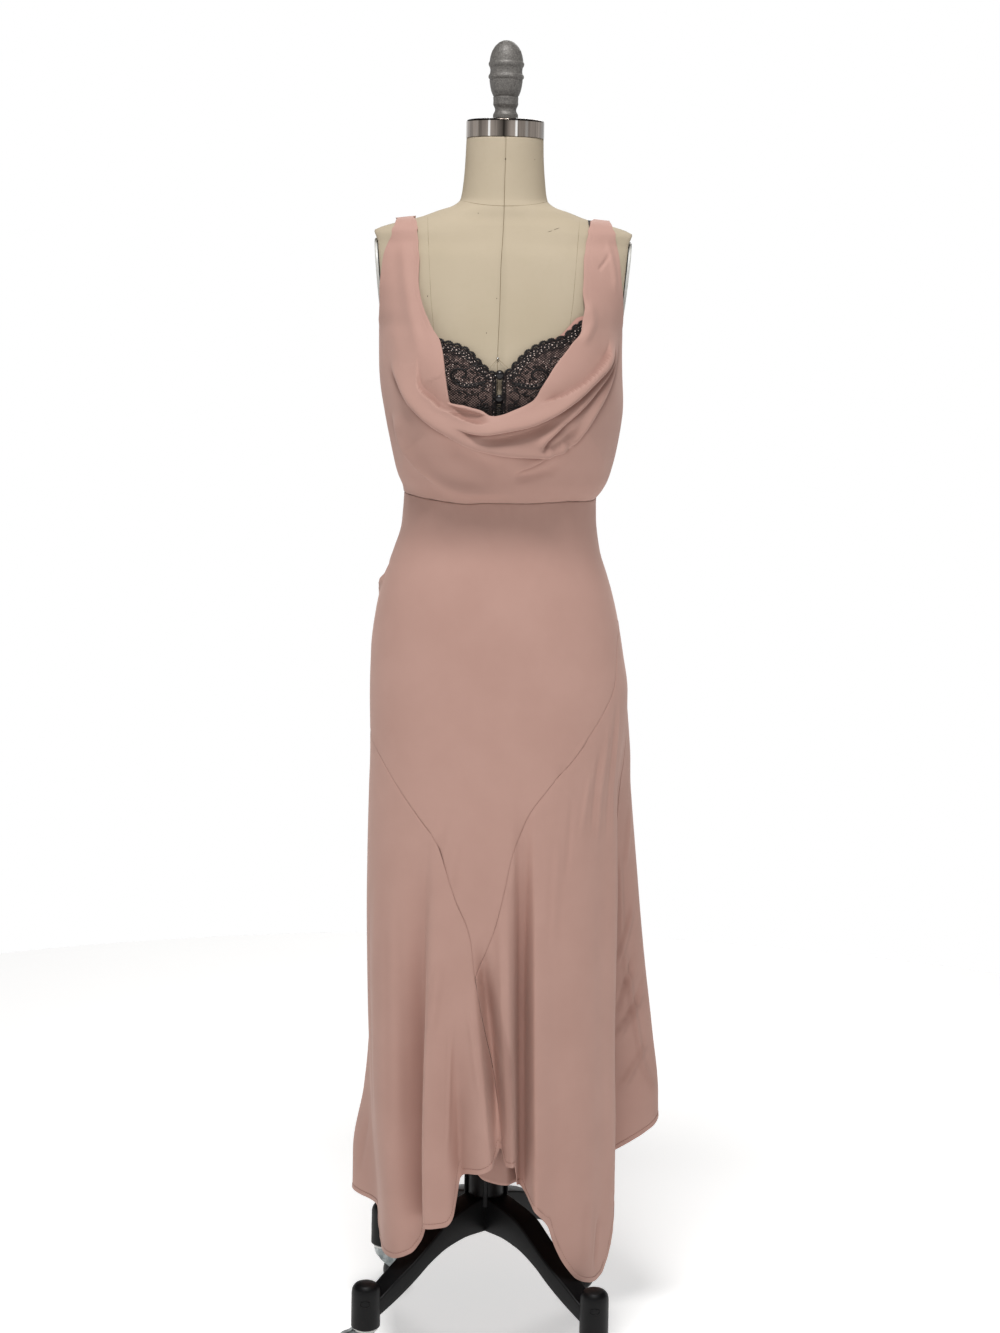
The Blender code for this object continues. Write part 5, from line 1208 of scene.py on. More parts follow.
# drag lines and creases: turn and z of the two ends, height mm, half width mm
skirtCreases = {
    "skirt_back": [
        (170, 1.092, 190, 1.116, 5.5, 6.5), (170, 1.118, 190, 1.14, -2, 6),
        (1.6, 0.545, 7.6, 0.645, 4.5, 4), (2.6, 0.505, 7.6, 0.545, 3, 4), (0.8, 0.44, 9.4, 0.512, 6, 4.2),
        (2, 0.452, 10, 0.535, -5, 4.2), (1.6, 0.365, 9.4, 0.44, 5, 4.2), (3, 0.6, 7, 0.385, 3.6, 3.6),
        (2, 0.73, 3.2, 0.575, 3, 4), (6, 0.41, 10.6, 0.352, 3.4, 4), (1.2, 0.475, 6.6, 0.575, -4, 4),
        (4.6, 0.69, 8.4, 0.79, 2.4, 5), (150, 0.26, 160, 0.38, 2, 8), (166, 0.215, 172, 0.33, -1.8, 6),
        (60, 0.92, 70, 0.7, 1.5, 12), (112, 0.93, 106, 0.7, 1.5, 12),
    ],
    "skirt_front_centre": [
        (170, 1.092, 190, 1.116, 5.5, 6.5), (170, 1.118, 190, 1.14, -2, 6), (246, 0.78, 243, 0.73, 1.2, 6),
        (252, 0.8, 246, 0.7, -1.4, 6), (256, 0.77, 251, 0.65, 1.3, 5), (312, 0.905, 305, 0.88, 1, 3.5),
        (300, 0.87, 296, 0.84, -0.9, 4), (192, 0.9, 205, 0.86, 1, 6), (285, 0.8, 280, 0.7, 1.6, 6),
    ],
    "skirt_front_left": [
        (250, 0.6, 246, 0.48, 1.4, 5), (255, 0.52, 253, 0.3, 2.2, 3), (262, 0.54, 266, 0.4, 1.8, 4),
        (207, 0.74, 206, 0.3, 1.6, 12), (222, 0.7, 224, 0.3, 2, 8), (196, 0.7, 196, 0.3, -1.6, 8),
    ],
    "skirt_front_right": [
        (316, 0.86, 312, 0.76, 1.8, 5), (322, 0.9, 320, 0.76, -2.2, 5), (327, 0.93, 325, 0.74, 2, 5),
        (334, 0.96, 333, 0.74, -2, 5), (338, 0.96, 338, 0.74, 1.5, 4), (306, 0.83, 304, 0.7, -1.5, 5),
        (299, 0.78, 297, 0.6, 1.2, 6), (330, 0.22, 327, 0.13, -2.6, 5), (322, 0.25, 320, 0.14, 1.6, 8),
    ],
}


def creaseRelief(points, rows):
    # how far each crease lifts the cloth, and the painted shade in it or on both sides of it
    lift, tone = np.zeros(points.shape[:2]), np.zeros(points.shape[:2])
    for turn1, z1, turn2, z2, height, half in rows:
        gap, _, share = nearLine(points, skirtSurface([turn1, turn2], [z1, z2]))
        fade = easeIn(share / 0.3) * easeIn((1 - share) / 0.3)
        lift += height * mm * fade * bell(gap / (half * mm))
        beside = gap / (half * mm) - (1.4 if height > 0 else 0.0)
        tone += 0.036 * abs(height) * fade * bell(beside / 0.8)
    return lift, tone


skirtCut = {
    "hemStitch": 6.8 * mm, "hemThick": 0.45 * mm, "stitchDip": 0.4 * mm, "seamDip": 0.7 * mm,
    "seamReach": 1 * mm, "swell": 0.9 * mm, "seamTone": 0.26, "toneReach": 0.7 * mm,
}


# how much painted shade darkens the cloth inside its deep folds and where it lies recessed: turn at the top
# and at the hem, height where it starts and where it is whole, half width in turn, amount
skirtFoldShade = {
    "skirt_front_right": [
        (266.4, 277, 0.6, 0.46, 2.4, 0.34), (282, 284.8, 0.8, 0.5, 3.2, 0.3),
        (353.5, 354.5, 0.9, 0.5, 6, 0.2),
    ],
    "skirt_front_left": [(241, 237, 0.76, 0.45, 4, 0.16), (258, 259, 0.48, 0.3, 2.4, 0.1)],
    "skirt_back": [(6, 6, 0.9, 0.5, 16, 0.15)],
}


def skirtSheet(node, turns, topOf, bottomOf, rows, follow, hemmed):
    top, bottom = topOf(turns), bottomOf(turns)
    if follow:
        for _ in range(4):
            bottom = bottomOf(followCentre(turns, bottom))
    depth = np.maximum(top - bottom, 1e-4)
    edge = np.array([0.0, 0.5, 1.1, 1.9, 3.0, 4.6]) * mm
    hem = np.array([0.0, 0.4, 1.2, 3.0, 5.0, 6.0, 6.5, 6.9, 7.3, 7.9, 9.0]) * mm if hemmed else edge
    low = np.minimum(edge[:, None], 0.3 * depth[None, :] * (edge / edge[-1])[:, None])
    high = np.minimum(hem[:, None], 0.4 * depth[None, :] * (hem / hem[-1])[:, None])
    rows = int(rows * detail)
    middle = np.linspace(0, 1, rows + 2)[1:-1, None]
    span = depth[None, :] - low[-1:] - high[-1:]
    down = np.concatenate([low, low[-1:] + span * middle, depth[None, :] - high[::-1]])
    z = top[None, :] - down
    at = followCentre(turns[None, :], z) if follow else turns[None, :] + z * 0
    base = skirtSurface(at, z)
    normals = gridNormals(base)

    def slant(line, edgeRow):
        # turns a distance down the cloth into one square to a sloping edge
        level = np.linalg.norm(np.gradient(edgeRow, axis=0)[:, :2], axis=-1)
        return np.sqrt(1 + (np.abs(np.gradient(line)) / np.maximum(level, 1e-6)) ** 2)[None, :]

    fromTop = down / slant(top, base[0])
    fromHem = (depth[None, :] - down) / slant(bottom, base[-1])
    swell = softNoise(base, 0.06, 4, (1.0, 1.0, 3.0)) * skirtCut["swell"]
    grain = softNoise(base, 0.018, 9, (1.0, 1.0, 4.0)) * 0.25 * mm
    hold = easeIn(fromTop / 0.012)
    # deep holds painted shade: beside the creases and inside the deep folds
    creases, deep = creaseRelief(base, skirtCreases.get(node, []))
    lift = (swell + grain + creases) * hold
    for top0, bottom0, start, full, wide, amount in skirtFoldShade.get(node, []):
        centre = top0 + (bottom0 - top0) * np.clip((start - z) / (start - full), 0, 1)
        deep = deep + amount * easeIn((start - z) / (start - full)) * np.exp(-((at - centre) / wide) ** 4)

    def seamPull(distance):
        # a seam pulls the cloth in, with a thin dark line of painted shade in its groove
        pull = skirtCut["seamDip"] * np.exp(-distance / skirtCut["seamReach"])
        return pull, skirtCut["seamTone"] * np.exp(-distance / skirtCut["toneReach"])

    dip, line = seamPull(fromTop)
    pucker = softNoise(base, 0.009, 13) * 0.5 * mm * bell((fromTop - 0.004) / 0.004)
    lift = lift - dip + pucker
    shade = deep + line
    if hemmed:
        groove = bell((fromHem - skirtCut["hemStitch"]) / skirtCut["toneReach"])
        lift = lift + skirtCut["hemThick"] * easeIn((skirtCut["hemStitch"] - fromHem) / mm)
        lift = lift - skirtCut["stitchDip"] * groove
        lift = lift + softNoise(base, 0.016, 21) * 0.7 * mm * np.exp(-fromHem / 0.009)
        # painted shade in the groove of the hem stitches
        shade = shade + 0.2 * groove
    else:
        dip, line = seamPull(fromHem)
        lift, shade = lift - dip, shade + line
    run = np.cumsum(np.linalg.norm(np.gradient(base, axis=1), axis=-1), axis=1)
    for distance in (run, run[:, -1:] - run):  # the side edges are seams too
        dip, line = seamPull(distance)
        lift, shade = lift - 0.8 * dip, shade + line
    grid = base + normals * lift[..., None]
    toWaist = np.abs(z - waistHeight)
    gathers = softNoise(base, 0.01, 31, (1.0, 1.0, 8.0)) * 0.9 * mm * np.exp(-toWaist / 0.02)
    grid = grid + normals * (gathers * hold)[..., None]
    grid[..., 2] += waistWave(at) * mm * bell(toWaist / dressCloth["waveReach"])
    item = clothWall(node + "_cloth", grid, dressCloth["wall"], roseCrepe, np.clip(shade, 0, 1))
    fileDown(item, "rose_crepe", node)
    return grid, gridNormals(grid), fromHem


def spread(start, end, count, *dense):
    # turns from start to end, closer together near the dense ones
    fine = np.linspace(start, end, 4000)
    weight = np.ones(4000)
    for centre, reach, more in dense:
        weight += more * bell((fine - centre) / reach)
    total = np.concatenate([[0], np.cumsum((weight[1:] + weight[:-1]) / 2)])
    return np.interp(np.linspace(0, total[-1], max(int(count * detail), 30)), total, fine)


def waistEdge(turn):
    return np.full(np.shape(turn), waistHeight - 0.15 * mm)


halfGap = degrees(0.15 * mm / 0.17)
centreTurns = spread(180.0, 360.0, 130, (240, 12, 1.0), (pointTurn, 14, 2.0), (290, 12, 0.8))
leftTurns = spread(180.0, pointTurn - halfGap, 165, (240, 14, 1.0), (pointTurn, 7, 3.0))
rightTurns = spread(pointTurn + halfGap, 360.0, 205, (pointTurn, 6, 3.0), (283, 12, 2.0), (348, 10, 1.0))
backTurns = spread(0.0, 180.0, 150, (6, 8, 3.0), (168, 12, 1.0))
skirtSheet("skirt_front_centre", centreTurns, waistEdge, frontSeam, 100, False, False)
hemmedSheets = [
    skirtSheet("skirt_front_left", leftTurns, frontSeam, hemHeight, 110, True, True),
    skirtSheet("skirt_front_right", rightTurns, frontSeam, hemHeight, 115, True, True),
    skirtSheet("skirt_back", backTurns, waistEdge, hemHeight, 120, False, True),
]
print("skirt made")


innerFold = {
    # turn, hem height
    "hem": [(266.8, 0.287), (268.5, 0.28), (271.5, 0.2745), (276, 0.2715), (280, 0.272),
            (284, 0.27)],
    "top": 0.44, "back": 26 * mm, "swing": 17 * mm, "wave": 3 * mm, "columns": 44, "rows": 40,
}


def innerFoldSheet():
    # the part of the right godet that folds back behind the tube and the point of the left one
    ends = innerFold["hem"][0][0], innerFold["hem"][-1][0]
    turns = np.linspace(*ends, int(innerFold["columns"] * detail))
    hem = tableCurve(innerFold["hem"], 1)(turns)
    down = np.linspace(0, 1, int(innerFold["rows"] * detail))[:, None]
    z = innerFold["top"] + (hem[None, :] - innerFold["top"]) * down
    turn = turns[None, :] + z * 0
    x, y, _, _ = ovalPoint(turn, *(curve(z) for curve in skirtCurves), skirtShape["power"])
    # it lies behind the front cloth, further back at its right end, with one slow wave
    away = innerFold["back"] + innerFold["swing"] * easeIn((turn - 277.5) / 5.0)
    away = away + innerFold["wave"] * np.sin((turn - 267.0) / 19.0 * 2 * pi) * down
    grid = np.stack([x, y + away, z], -1)
    grid[..., 1] += softNoise(grid, 0.02, 17) * 0.8 * mm
    # painted shade all over the fold, which lies behind the front cloth
    item = clothWall("inner_fold_cloth", grid, dressCloth["wall"], roseCrepe, np.full(z.shape, 0.1))
    fileDown(item, "rose_crepe")


innerFoldSheet()


hemStitch = {"length": 2.6 * mm, "gap": 1.3 * mm, "width": 0.55 * mm, "height": 0.3 * mm}


def hemStitches():
    # the row of stitches that holds the hem up, where it shows outside
    bundle = Bundle()
    for grid, normals, fromHem in hemmedSheets:
        path, ups = [], []
        for j in range(grid.shape[1]):
            order = np.argsort(fromHem[:, j])
            for line, sheet in ((path, grid), (ups, normals)):
                line.append(readAlong(skirtCut["hemStitch"], fromHem[order, j], sheet[order, j]))
        ups = unit(np.array(ups))
        stitchRow(bundle, np.array(path) + ups * 0.05 * mm, ups, hemStitch)
    return bundle.build("hem_stitches", roseThread)


fileDown(hemStitches(), "rose_crepe")
print("stitches made")


# the lace under-bodice: two halves on a rose lining, buttoned at the centre front
laceShape = {
    "left": [
        # x, z of the top edge
        (-0.133, 1.456), (-0.108, 1.452), (-0.0856, 1.448), (-0.0558, 1.4407), (-0.0422, 1.4343),
        (-0.0285, 1.4212), (-0.0147, 1.409), (-0.0066, 1.4045),
    ],
    "right": [
        (0.0032, 1.4045), (0.011, 1.4105), (0.0188, 1.4193), (0.036, 1.4357), (0.0587, 1.4481),
        (0.079, 1.454), (0.0897, 1.463), (0.1031, 1.4743), (0.133, 1.48),
    ],
    "bottom": 1.3, "laceOut": 5.1 * mm, "liningOut": 3.3 * mm, "centre": -1.7 * mm,
    "scallopPitch": 12 * mm, "scallopDeep": 3.4 * mm, "wall": 0.6 * mm,
    # height of the lining's edge over that of the lace, in mm, from the centre out
    "liningEdge": {"left": (-4.5, -4.5, -4.5, -4.5), "right": (-4.5, -3.5, 2.6, 6)},
}
laceCordSizes = {"thick": 2.1 * mm, "middle": 1.45 * mm, "thin": 0.95 * mm, "height": 0.9 * mm}


def laceSpot(x, z, out=None):
    x, z = asFloats(x, z)
    turn = formTurn(x, z)
    normals = surfaceNormal(formSurface, turn, z)
    out = laceShape["laceOut"] if out is None else out
    return formSurface(turn, z) + normals * out, normals


def laceEdge(side):
    # the top edge as closely spaced points with their length along it
    rows = laceShape[side]
    top = rowCurve([r[0] for r in rows], [r[1] for r in rows])
    xs = np.linspace(rows[0][0], rows[-1][0], 1200)
    zs = top(xs)
    return xs, zs, lengthAlong(np.stack([xs, zs], -1)), top


def laceDark(x, z, edgeDepth):
    # where the pattern is worked solid: the border, the motifs and the centre front
    s = np.abs(x - laceShape["centre"]) / mm
    dark = 0.92 * (1 - easeIn((edgeDepth / mm - 12.0) / 5.0))
    dark = np.maximum(dark, 1 - easeIn((s - 7.0) / 4.0))
    for name, width, tone in (("paisley", 1.9, 1.0), ("stem", 1.6, 0.6), ("outerScroll", 1.8, 0.7)):
        gap = nearLine(np.stack([s, (z - 1.4) / mm], -1), smoothLine(laceMotifs[name]))[0]
        dark = np.maximum(dark, tone * bell(gap / width))
    # loose florals fill the ground between the border and the paisley, and the foot
    fill = softNoise(np.stack([x, z * 0, z], -1), 0.0045, 21)
    dark = np.maximum(dark, 0.75 * easeIn((fill - 0.05) / 0.25) * easeIn((z - 1.4045) / 0.006))
    dark = np.maximum(dark, 0.85 * easeIn((fill + 0.25) / 0.3) * easeIn((1.37 - z) / 0.01))
    flower = np.hypot((s - 21.0) / 1.2, (z - 1.358) / mm)
    dark = np.maximum(dark, 0.85 * bell(flower / 9.0))
    return dark


def laceHalf(side, lining):
    xs, zs, lengths, _ = laceEdge(side)
    columns = int((60 if lining else 130) * detail)
    rows = int((16 if lining else 50) * detail)
    at = np.linspace(0, lengths[-1], columns)
    x = np.interp(at, lengths, xs)
    edge = np.interp(at, lengths, zs)
    s = np.abs(x - laceShape["centre"]) / mm
    if lining:
        # it ends below the scallops, and shows above them only beside the right strap
        edge = edge + np.interp(s, [50.0, 62.0, 84.0, 100.0], laceShape["liningEdge"][side]) * mm
        out = laceShape["liningOut"]
    else:
        lobe = np.abs(np.sin(pi * at / laceShape["scallopPitch"])) ** 0.75
        edge = edge - 3.0 * mm - laceShape["scallopDeep"] * (1 - lobe)
        out = laceShape["laceOut"]
    down = np.linspace(0, 1, rows)[:, None] ** (1.0 if lining else 1.25)
    z = edge[None, :] + (laceShape["bottom"] - edge)[None, :] * down
    x = x[None, :] + z * 0
    grid, normals = laceSpot(x, z, out)
    name = ("lining_sheet_" if lining else "lace_net_") + side
    if lining:
        item = clothWall(name, grid, 0.7 * mm, roseLining, np.zeros(z.shape), normals)
        fileDown(item, "rose_lining", "lining_" + side)
        return
    relief = softNoise(grid, 0.0035, 6) * 0.18 * mm
    shade = laceDark(x, z, edge[None, :] - z) * (0.86 + 0.14 * softNoise(grid, 0.004, 8))
    item = clothWall(name, grid + normals * relief[..., None], laceShape["wall"], laceNet,
                     np.clip(shade, 0, 1), normals)
    fileDown(item, "black_lace", "lace_" + side)


def turnedFlat(spot, px, pz, tilt):
    # flat points turned by the tilt and moved to the spot
    c, s = cos(radians(tilt)), sin(radians(tilt))
    return np.stack([spot[0] + px * c - pz * s, spot[1] + px * s + pz * c], -1)


def loop(spot, rx, rz, tilt=0.0, count=18):
    # points of an oval, its half widths in mm
    angles = np.radians(np.linspace(0, 360, count, endpoint=False))
    return turnedFlat(spot, rx * mm * np.cos(angles), rz * mm * np.sin(angles), tilt)


def leaf(spot, length, width, tilt, count=14):
    share = np.linspace(0, 1, count)
    half = width * mm / 2 * np.sin(pi * share)
    px = np.concatenate([(share - 0.5) * (length * mm), (0.5 - share[1:-1]) * (length * mm)])
    return turnedFlat(spot, px, np.concatenate([half, -half[1:-1]]), tilt)


# motifs of one half in mm: distance from the centre front, height over 1.4 m
laceMotifs = {
    "paisley": [
        # the drop-shaped cord: its tail, the round end and the curl inside
        (17.6, -7.4), (24.8, -10.4), (35.8, -13.6), (46.8, -14.6), (57.1, -10.6), (63.6, -3.6), (63.6, 3.4),
        (57.4, 8.2), (48.8, 8), (44, 3.6), (45.4, -1.4), (50, -2.6),
    ],
    "paisleyInner": [
        (24, -8), (34, -10.8), (45.6, -11.2), (54.6, -7.8), (60.2, -2.2), (60, 2.4), (55.6, 5.2),
    ],
    "stem": [
        (12, -4), (17, -2), (22, 0.8), (27.4, 1.6), (32.4, -1), (35, -5.2), (33, -9.4), (27, -10.6),
        (21, -12.6), (16, -12),
    ],
    "upperStem": [
        (24, 12.6), (31, 14.2), (37, 12.2), (41.6, 9), (46, 7.4),
    ],
    "outerScroll": [
        (62, 12), (66, 8.6), (72, 7.2), (78, 9.4), (81.4, 14.6), (80.6, 20.6), (75.6, 24.4), (69.4, 23.4),
        (66.2, 18.8), (68, 14.4), (73, 13.2), (76, 16.8),
    ],
    "lowScroll": [
        (14, -22), (19, -19), (25, -20.6), (28, -25.6), (26, -31), (20.6, -32.6), (16.8, -29),
        (18.6, -25.4),
    ],
    "lowVine": [
        (30, -22), (36, -25), (42, -24), (47, -20.4), (53, -19), (59, -21),
    ],
}
laceLeaves = [
    # distance, height, length, width, tilt
    (48.5, 12.6, 11, 3.2, 6), (36.5, 5, 7, 2.6, 38), (30, 7.4, 6, 2.4, 60), (41, -4.6, 6, 2.4, 75),
    (27, -4.6, 6, 2.4, -30), (20, 4.6, 6, 2.4, 30), (58, 15, 7, 2.6, -20), (36, -21, 6, 2.6, 40),
    (44, -27.4, 6, 2.6, -35), (52, -23, 6, 2.4, 20), (31, -14.6, 6.5, 2.6, 15), (22, -16.4, 6, 2.4, -10),
    (70.5, 2, 6.5, 2.4, 70), (73.5, -6, 6, 2.4, 100), (66, -16, 6, 2.4, 60),
]
laceEyelets = [
    # the pale spots in the pattern, lining showing through and brightened by a painted highlight: distance,
    # height, radius
    (30, -10.6, 0.8), (35.6, -11.9, 0.85), (41, -12.4, 0.8), (46.4, -12.4, 0.85), (51.6, -10.6, 0.8),
    (55.4, -7.4, 0.7), (57.6, -4, 0.7), (66.8, -4.2, 0.85), (67.6, 2, 0.85), (66, 8.4, 0.9),
    (62.6, 11, 0.85), (70.2, 6, 0.8), (12.4, -11.6, 0.85), (16, -13, 0.8), (12, -1.8, 0.8),
    (15.2, 1.6, 0.85), (19.8, 5.2, 0.8), (22, -2.6, 0.7), (49.2, -6, 0.85), (43.6, -9.8, 0.85),
    (37.6, -9, 0.8), (53.2, -3.8, 0.55), (56.6, -6.2, 0.55), (59.2, -2, 0.5), (56, 0.6, 0.5),
    (27.6, 9.2, 0.85), (34.4, 13.4, 0.7), (40, 18.4, 0.6), (61.6, 13.2, 0.9), (73.2, 26, 0.8),
    (79.8, 23.2, 0.9), (76.8, 20.4, 0.8), (82, 15, 0.8), (65.6, 20.6, 0.55), (69.2, 16.8, 0.5),
    (62.8, 17.6, 0.5), (11.8, -6.2, 0.7), (14.4, -18.4, 0.8), (6.4, -14.2, 0.8), (58, 19.6, 0.6),
    (52, 22, 0.6), (46.2, 21.6, 0.6), (31, -18, 0.5),
]


laceBorder = {
    "arcs": [(5.6, "thick"), (4.1, "middle"), (2.5, "thin")],  # radius in each lobe, cord
    "centre": 5.2, "squash": 0.86,  # how deep the arcs' centre lies, and how flat they are
    # step along the edge, depth, radius
    "eyelets": [(-3.6, 6.6, 0.7), (0.2, 8.7, 0.85), (3.4, 6.2, 0.6), (-5.6, 9.6, 0.7), (5.8, 11.6, 0.8),
                (2, 13, 0.65)],
    "waves": [(7, 0.5, "middle"), (10.4, 0.9, "middle"), (14.6, 0.9, "thin")],  # depth, swing, cord
}


def laceCords(side):
    bundle, spots = Bundle(), Bundle()
    sign = -1 if side == "left" else 1
    sizes, pitch = laceCordSizes, laceShape["scallopPitch"]
    xs, zs, lengths, top = laceEdge(side)

    def draw(flat, width, height=1.0, closed=False, lift=0.25):
        path, normals = laceSpot(flat[:, 0], flat[:, 1], laceShape["laceOut"] + lift * mm)
        bundle.strand(path, normals, sizes.get(width, width), sizes["height"] * height, 4, closed)

    def ring(flat, width="thin", height=1.0, lift=0.25):
        draw(flat, width, height, True, lift)

    def local(rows):
        rows = np.asarray(rows, float).T
        return np.stack([laceShape["centre"] + sign * rows[0] * mm, 1.4 + rows[1] * mm], -1)

    # the scalloped border: three nested arcs in each lobe, small picots outside, ovals below
    ahead = unit(np.stack([np.gradient(xs), np.gradient(zs)], -1))
    edgeTable = np.column_stack([xs, zs, ahead[:, 1], -ahead[:, 0]])

    def alongEdge(u, depth):
        row = readAlong(np.clip(u, 0, lengths[-1]), lengths, edgeTable)
        return row[..., :2] + row[..., 2:] * np.asarray(depth * mm)[..., None]

    def lobeDepth(radius, angle):
        return laceBorder["centre"] - radius * np.sin(angle) * laceBorder["squash"]

    for k in range(int(lengths[-1] / pitch) + 1):
        middle = (k + 0.5) * pitch
        if middle > lengths[-1]:
            continue
        angles = np.radians(np.linspace(8, 172, 15))
        for radius, width in laceBorder["arcs"]:
            draw(alongEdge(middle + radius * mm * np.cos(angles), lobeDepth(radius, angles)), width)
        for angle in np.radians(np.linspace(15, 165, 8)):
            spot = alongEdge(middle + 6.3 * mm * cos(angle), lobeDepth(6.3, angle))
            ring(loop(spot, 0.75, 0.75, count=8), 0.5 * mm, 0.8)
        tilt = degrees(atan2(*readAlong(middle, lengths, ahead[:, ::-1])))
        ring(loop(alongEdge(middle, 8.6), 3.9, 2.1, tilt + 12), "middle")
        ring(leaf(alongEdge(middle + pitch / 2, 11.2), 6.0, 2.6, tilt - 30))
        for step, depth, radius in laceBorder["eyelets"]:
            vary = 0.75 + 0.5 * ((k * 7 + int(depth * 10)) % 5) / 4
            addEyelet(spots, alongEdge(middle + step * mm, depth), radius * vary * mm)
    u = np.linspace(0, lengths[-1], int(lengths[-1] / (1.2 * mm)))
    for depth, swing, width in laceBorder["waves"]:
        draw(alongEdge(u, depth + swing * np.sin(u / pitch * 2 * pi)), width)
    for name, rows in laceMotifs.items():
        draw(local(smoothLine(rows, 44)), "thick" if name.startswith("paisley") else "middle", 1.2)
    outline = local(smoothLine(laceMotifs["paisley"], 60))
    beside = unit(np.gradient(outline, axis=0))[:, ::-1] * np.array((1, -1)) * 1.5 * mm
    draw(outline + beside, "thin")
    for distance, height, length, width, tilt in laceLeaves:
        spot, tilt = local([(distance, height)])[0], sign * tilt
        ring(leaf(spot, length, width, tilt))
        vein = np.array((cos(radians(tilt)), sin(radians(tilt)))) * length * 0.4 * mm
        draw(spacedPath([spot - vein, spot + vein], 1.5 * mm), 0.5 * mm)
    for angle in range(15, 360, 60):  # the petals of the low flower
        turn = radians(angle)
        spot = local([(21.0 + 5.0 * cos(turn), -42.0 + 4.6 * sin(turn))])[0]
        ring(leaf(spot, 7.6, 4.0, angle if sign > 0 else 180 - angle), "middle")
    # the centre front edge: two upright cords with a chain of rings between them
    for distance, width, end in ((4.4, "middle", 1.0), (8.8, "thin", -2.0)):
        z = np.arange(-82.0, end, 1.5)
        draw(local(np.stack([distance + 0.35 * np.sin(z * 0.9), z], -1)), width)
    for z in np.arange(-80.0, -3.0, 4.6):
        ring(loop(local([(6.6, z)])[0], 1.6, 2.0, count=12))
        ring(loop(local([(3.4, z + 2.2)])[0], 0.8, 1.3, count=8), 0.5 * mm, 0.8)
        if round(z) % 2 == 0:
            addEyelet(spots, local([(6.6, z)])[0], 0.5 * mm)
    # below the lower button the two edges lie over each other
    if side == "left":
        for z in np.arange(-80.0, -35.0, 2.4):
            draw(local([(4.6, z), (1.5, z + 0.7), (-1.6, z + 0.7), (-4.6, z)]), "middle")
    # a fine scatter of knots between the motifs
    for k in range(150):
        spot = local([(10 + 78 * ((k * 0.6180339) % 1.0), -66 + 84 * ((k * 0.7548777 + 0.31) % 1.0))])[0]
        if spot[1] <= top(spot[0]) - 4 * mm:
            ring(loop(spot, 0.55, 0.55, count=6), 0.5 * mm, 0.7, 0.1)
    for distance, height, radius in laceEyelets:
        addEyelet(spots, local([(distance, height)])[0], radius * mm)
    fileDown(bundle.build("lace_cords_" + side, laceCord), "black_lace")
    fileDown(spots.build("lace_eyelets_" + side, laceGlint), "rose_lining")


def addEyelet(spots, flat, radius):
    # a small dot of lining that shows through an open eyelet, paler than the lining as a painted highlight
    centre, normal = laceSpot(flat[0], flat[1], laceShape["laceOut"] + 0.35 * mm)
    side = unit(np.cross(normal, np.array((0.0, 0.0, 1.0))))
    up = np.cross(normal, side)
    angles = np.arange(8) * pi / 4
    rim = centre + radius * (np.cos(angles)[:, None] * side + np.sin(angles)[:, None] * up)
    points = np.concatenate([[centre + normal * 0.3 * mm], rim, rim - normal * 0.3 * mm,
                             [centre - normal * 0.3 * mm]])
    faces = []
    for j in range(8):
        k = (j + 1) % 8
        faces += [(0, 1 + j, 1 + k), (1 + j, 9 + j, 9 + k, 1 + k), (17, 9 + k, 9 + j)]
    spots.add(points, faces)


for side in ("left", "right"):
    laceHalf(side, True)
    laceHalf(side, False)
    laceCords(side)

laceStrapLines = {
    "left": [(-0.1, 1.4545), (-0.115, 1.49), (-0.123, 1.53), (-0.127, 1.57),
             (-0.13, 1.596), (-0.132, 1.608)],
    "right": [(0.112, 1.479), (0.118, 1.5), (0.122, 1.53), (0.1215, 1.57),
              (0.12, 1.596), (0.1185, 1.611)],
}


def laceStrap(side):
    rows = laceStrapLines[side]
    path = rowCurve([r[1] for r in rows], [r[0] for r in rows])
    z = np.linspace(rows[0][1], rows[-1][1], int(90 * detail))
    across = np.linspace(-3.0, 3.0, 9) * mm
    x = path(z)[:, None] + across[None, :]
    high = z[:, None] + x * 0
    lift = (1.6 + 0.2 * easeIn((1.5 - high) / 0.03)) * mm
    grid, normals = laceSpot(x, high, 0.0)
    grid = grid + normals * lift[..., None]
    band = clothWall("lace_strap_band_" + side, grid, 0.7 * mm, laceNet, np.full(x.shape, 0.45), normals)
    fileDown(band, "black_lace", "lace_strap_" + side)
    bundle = Bundle()
    wave = 2.2 * mm * np.sin((z - z[0]) / (7 * mm) * 2 * pi)
    for offset, width in ((-2.8 * mm, 0.8), (2.8 * mm, 0.8), (wave, 0.7)):
        bundle.strand(*laceSpot(path(z) + offset, z, 1.9 * mm), width * mm, 0.6 * mm, 5)
    fileDown(bundle.build("lace_strap_cords_" + side, laceCord), "black_lace")


laceStrap("left")
laceStrap("right")

buttonShape = {
    "x": -1.2 * mm, "upper": 1.4016, "lower": 1.3696, "radius": 5.6 * mm,
    "profile": [(0.02, 0), (0.8, 0.1), (0.97, 0.7), (1, 1.2), (0.95, 1.9), (0.8, 2.8),
                (0.55, 3.5), (0.28, 3.85), (0.02, 3.9)],  # share of the radius, mm high
}


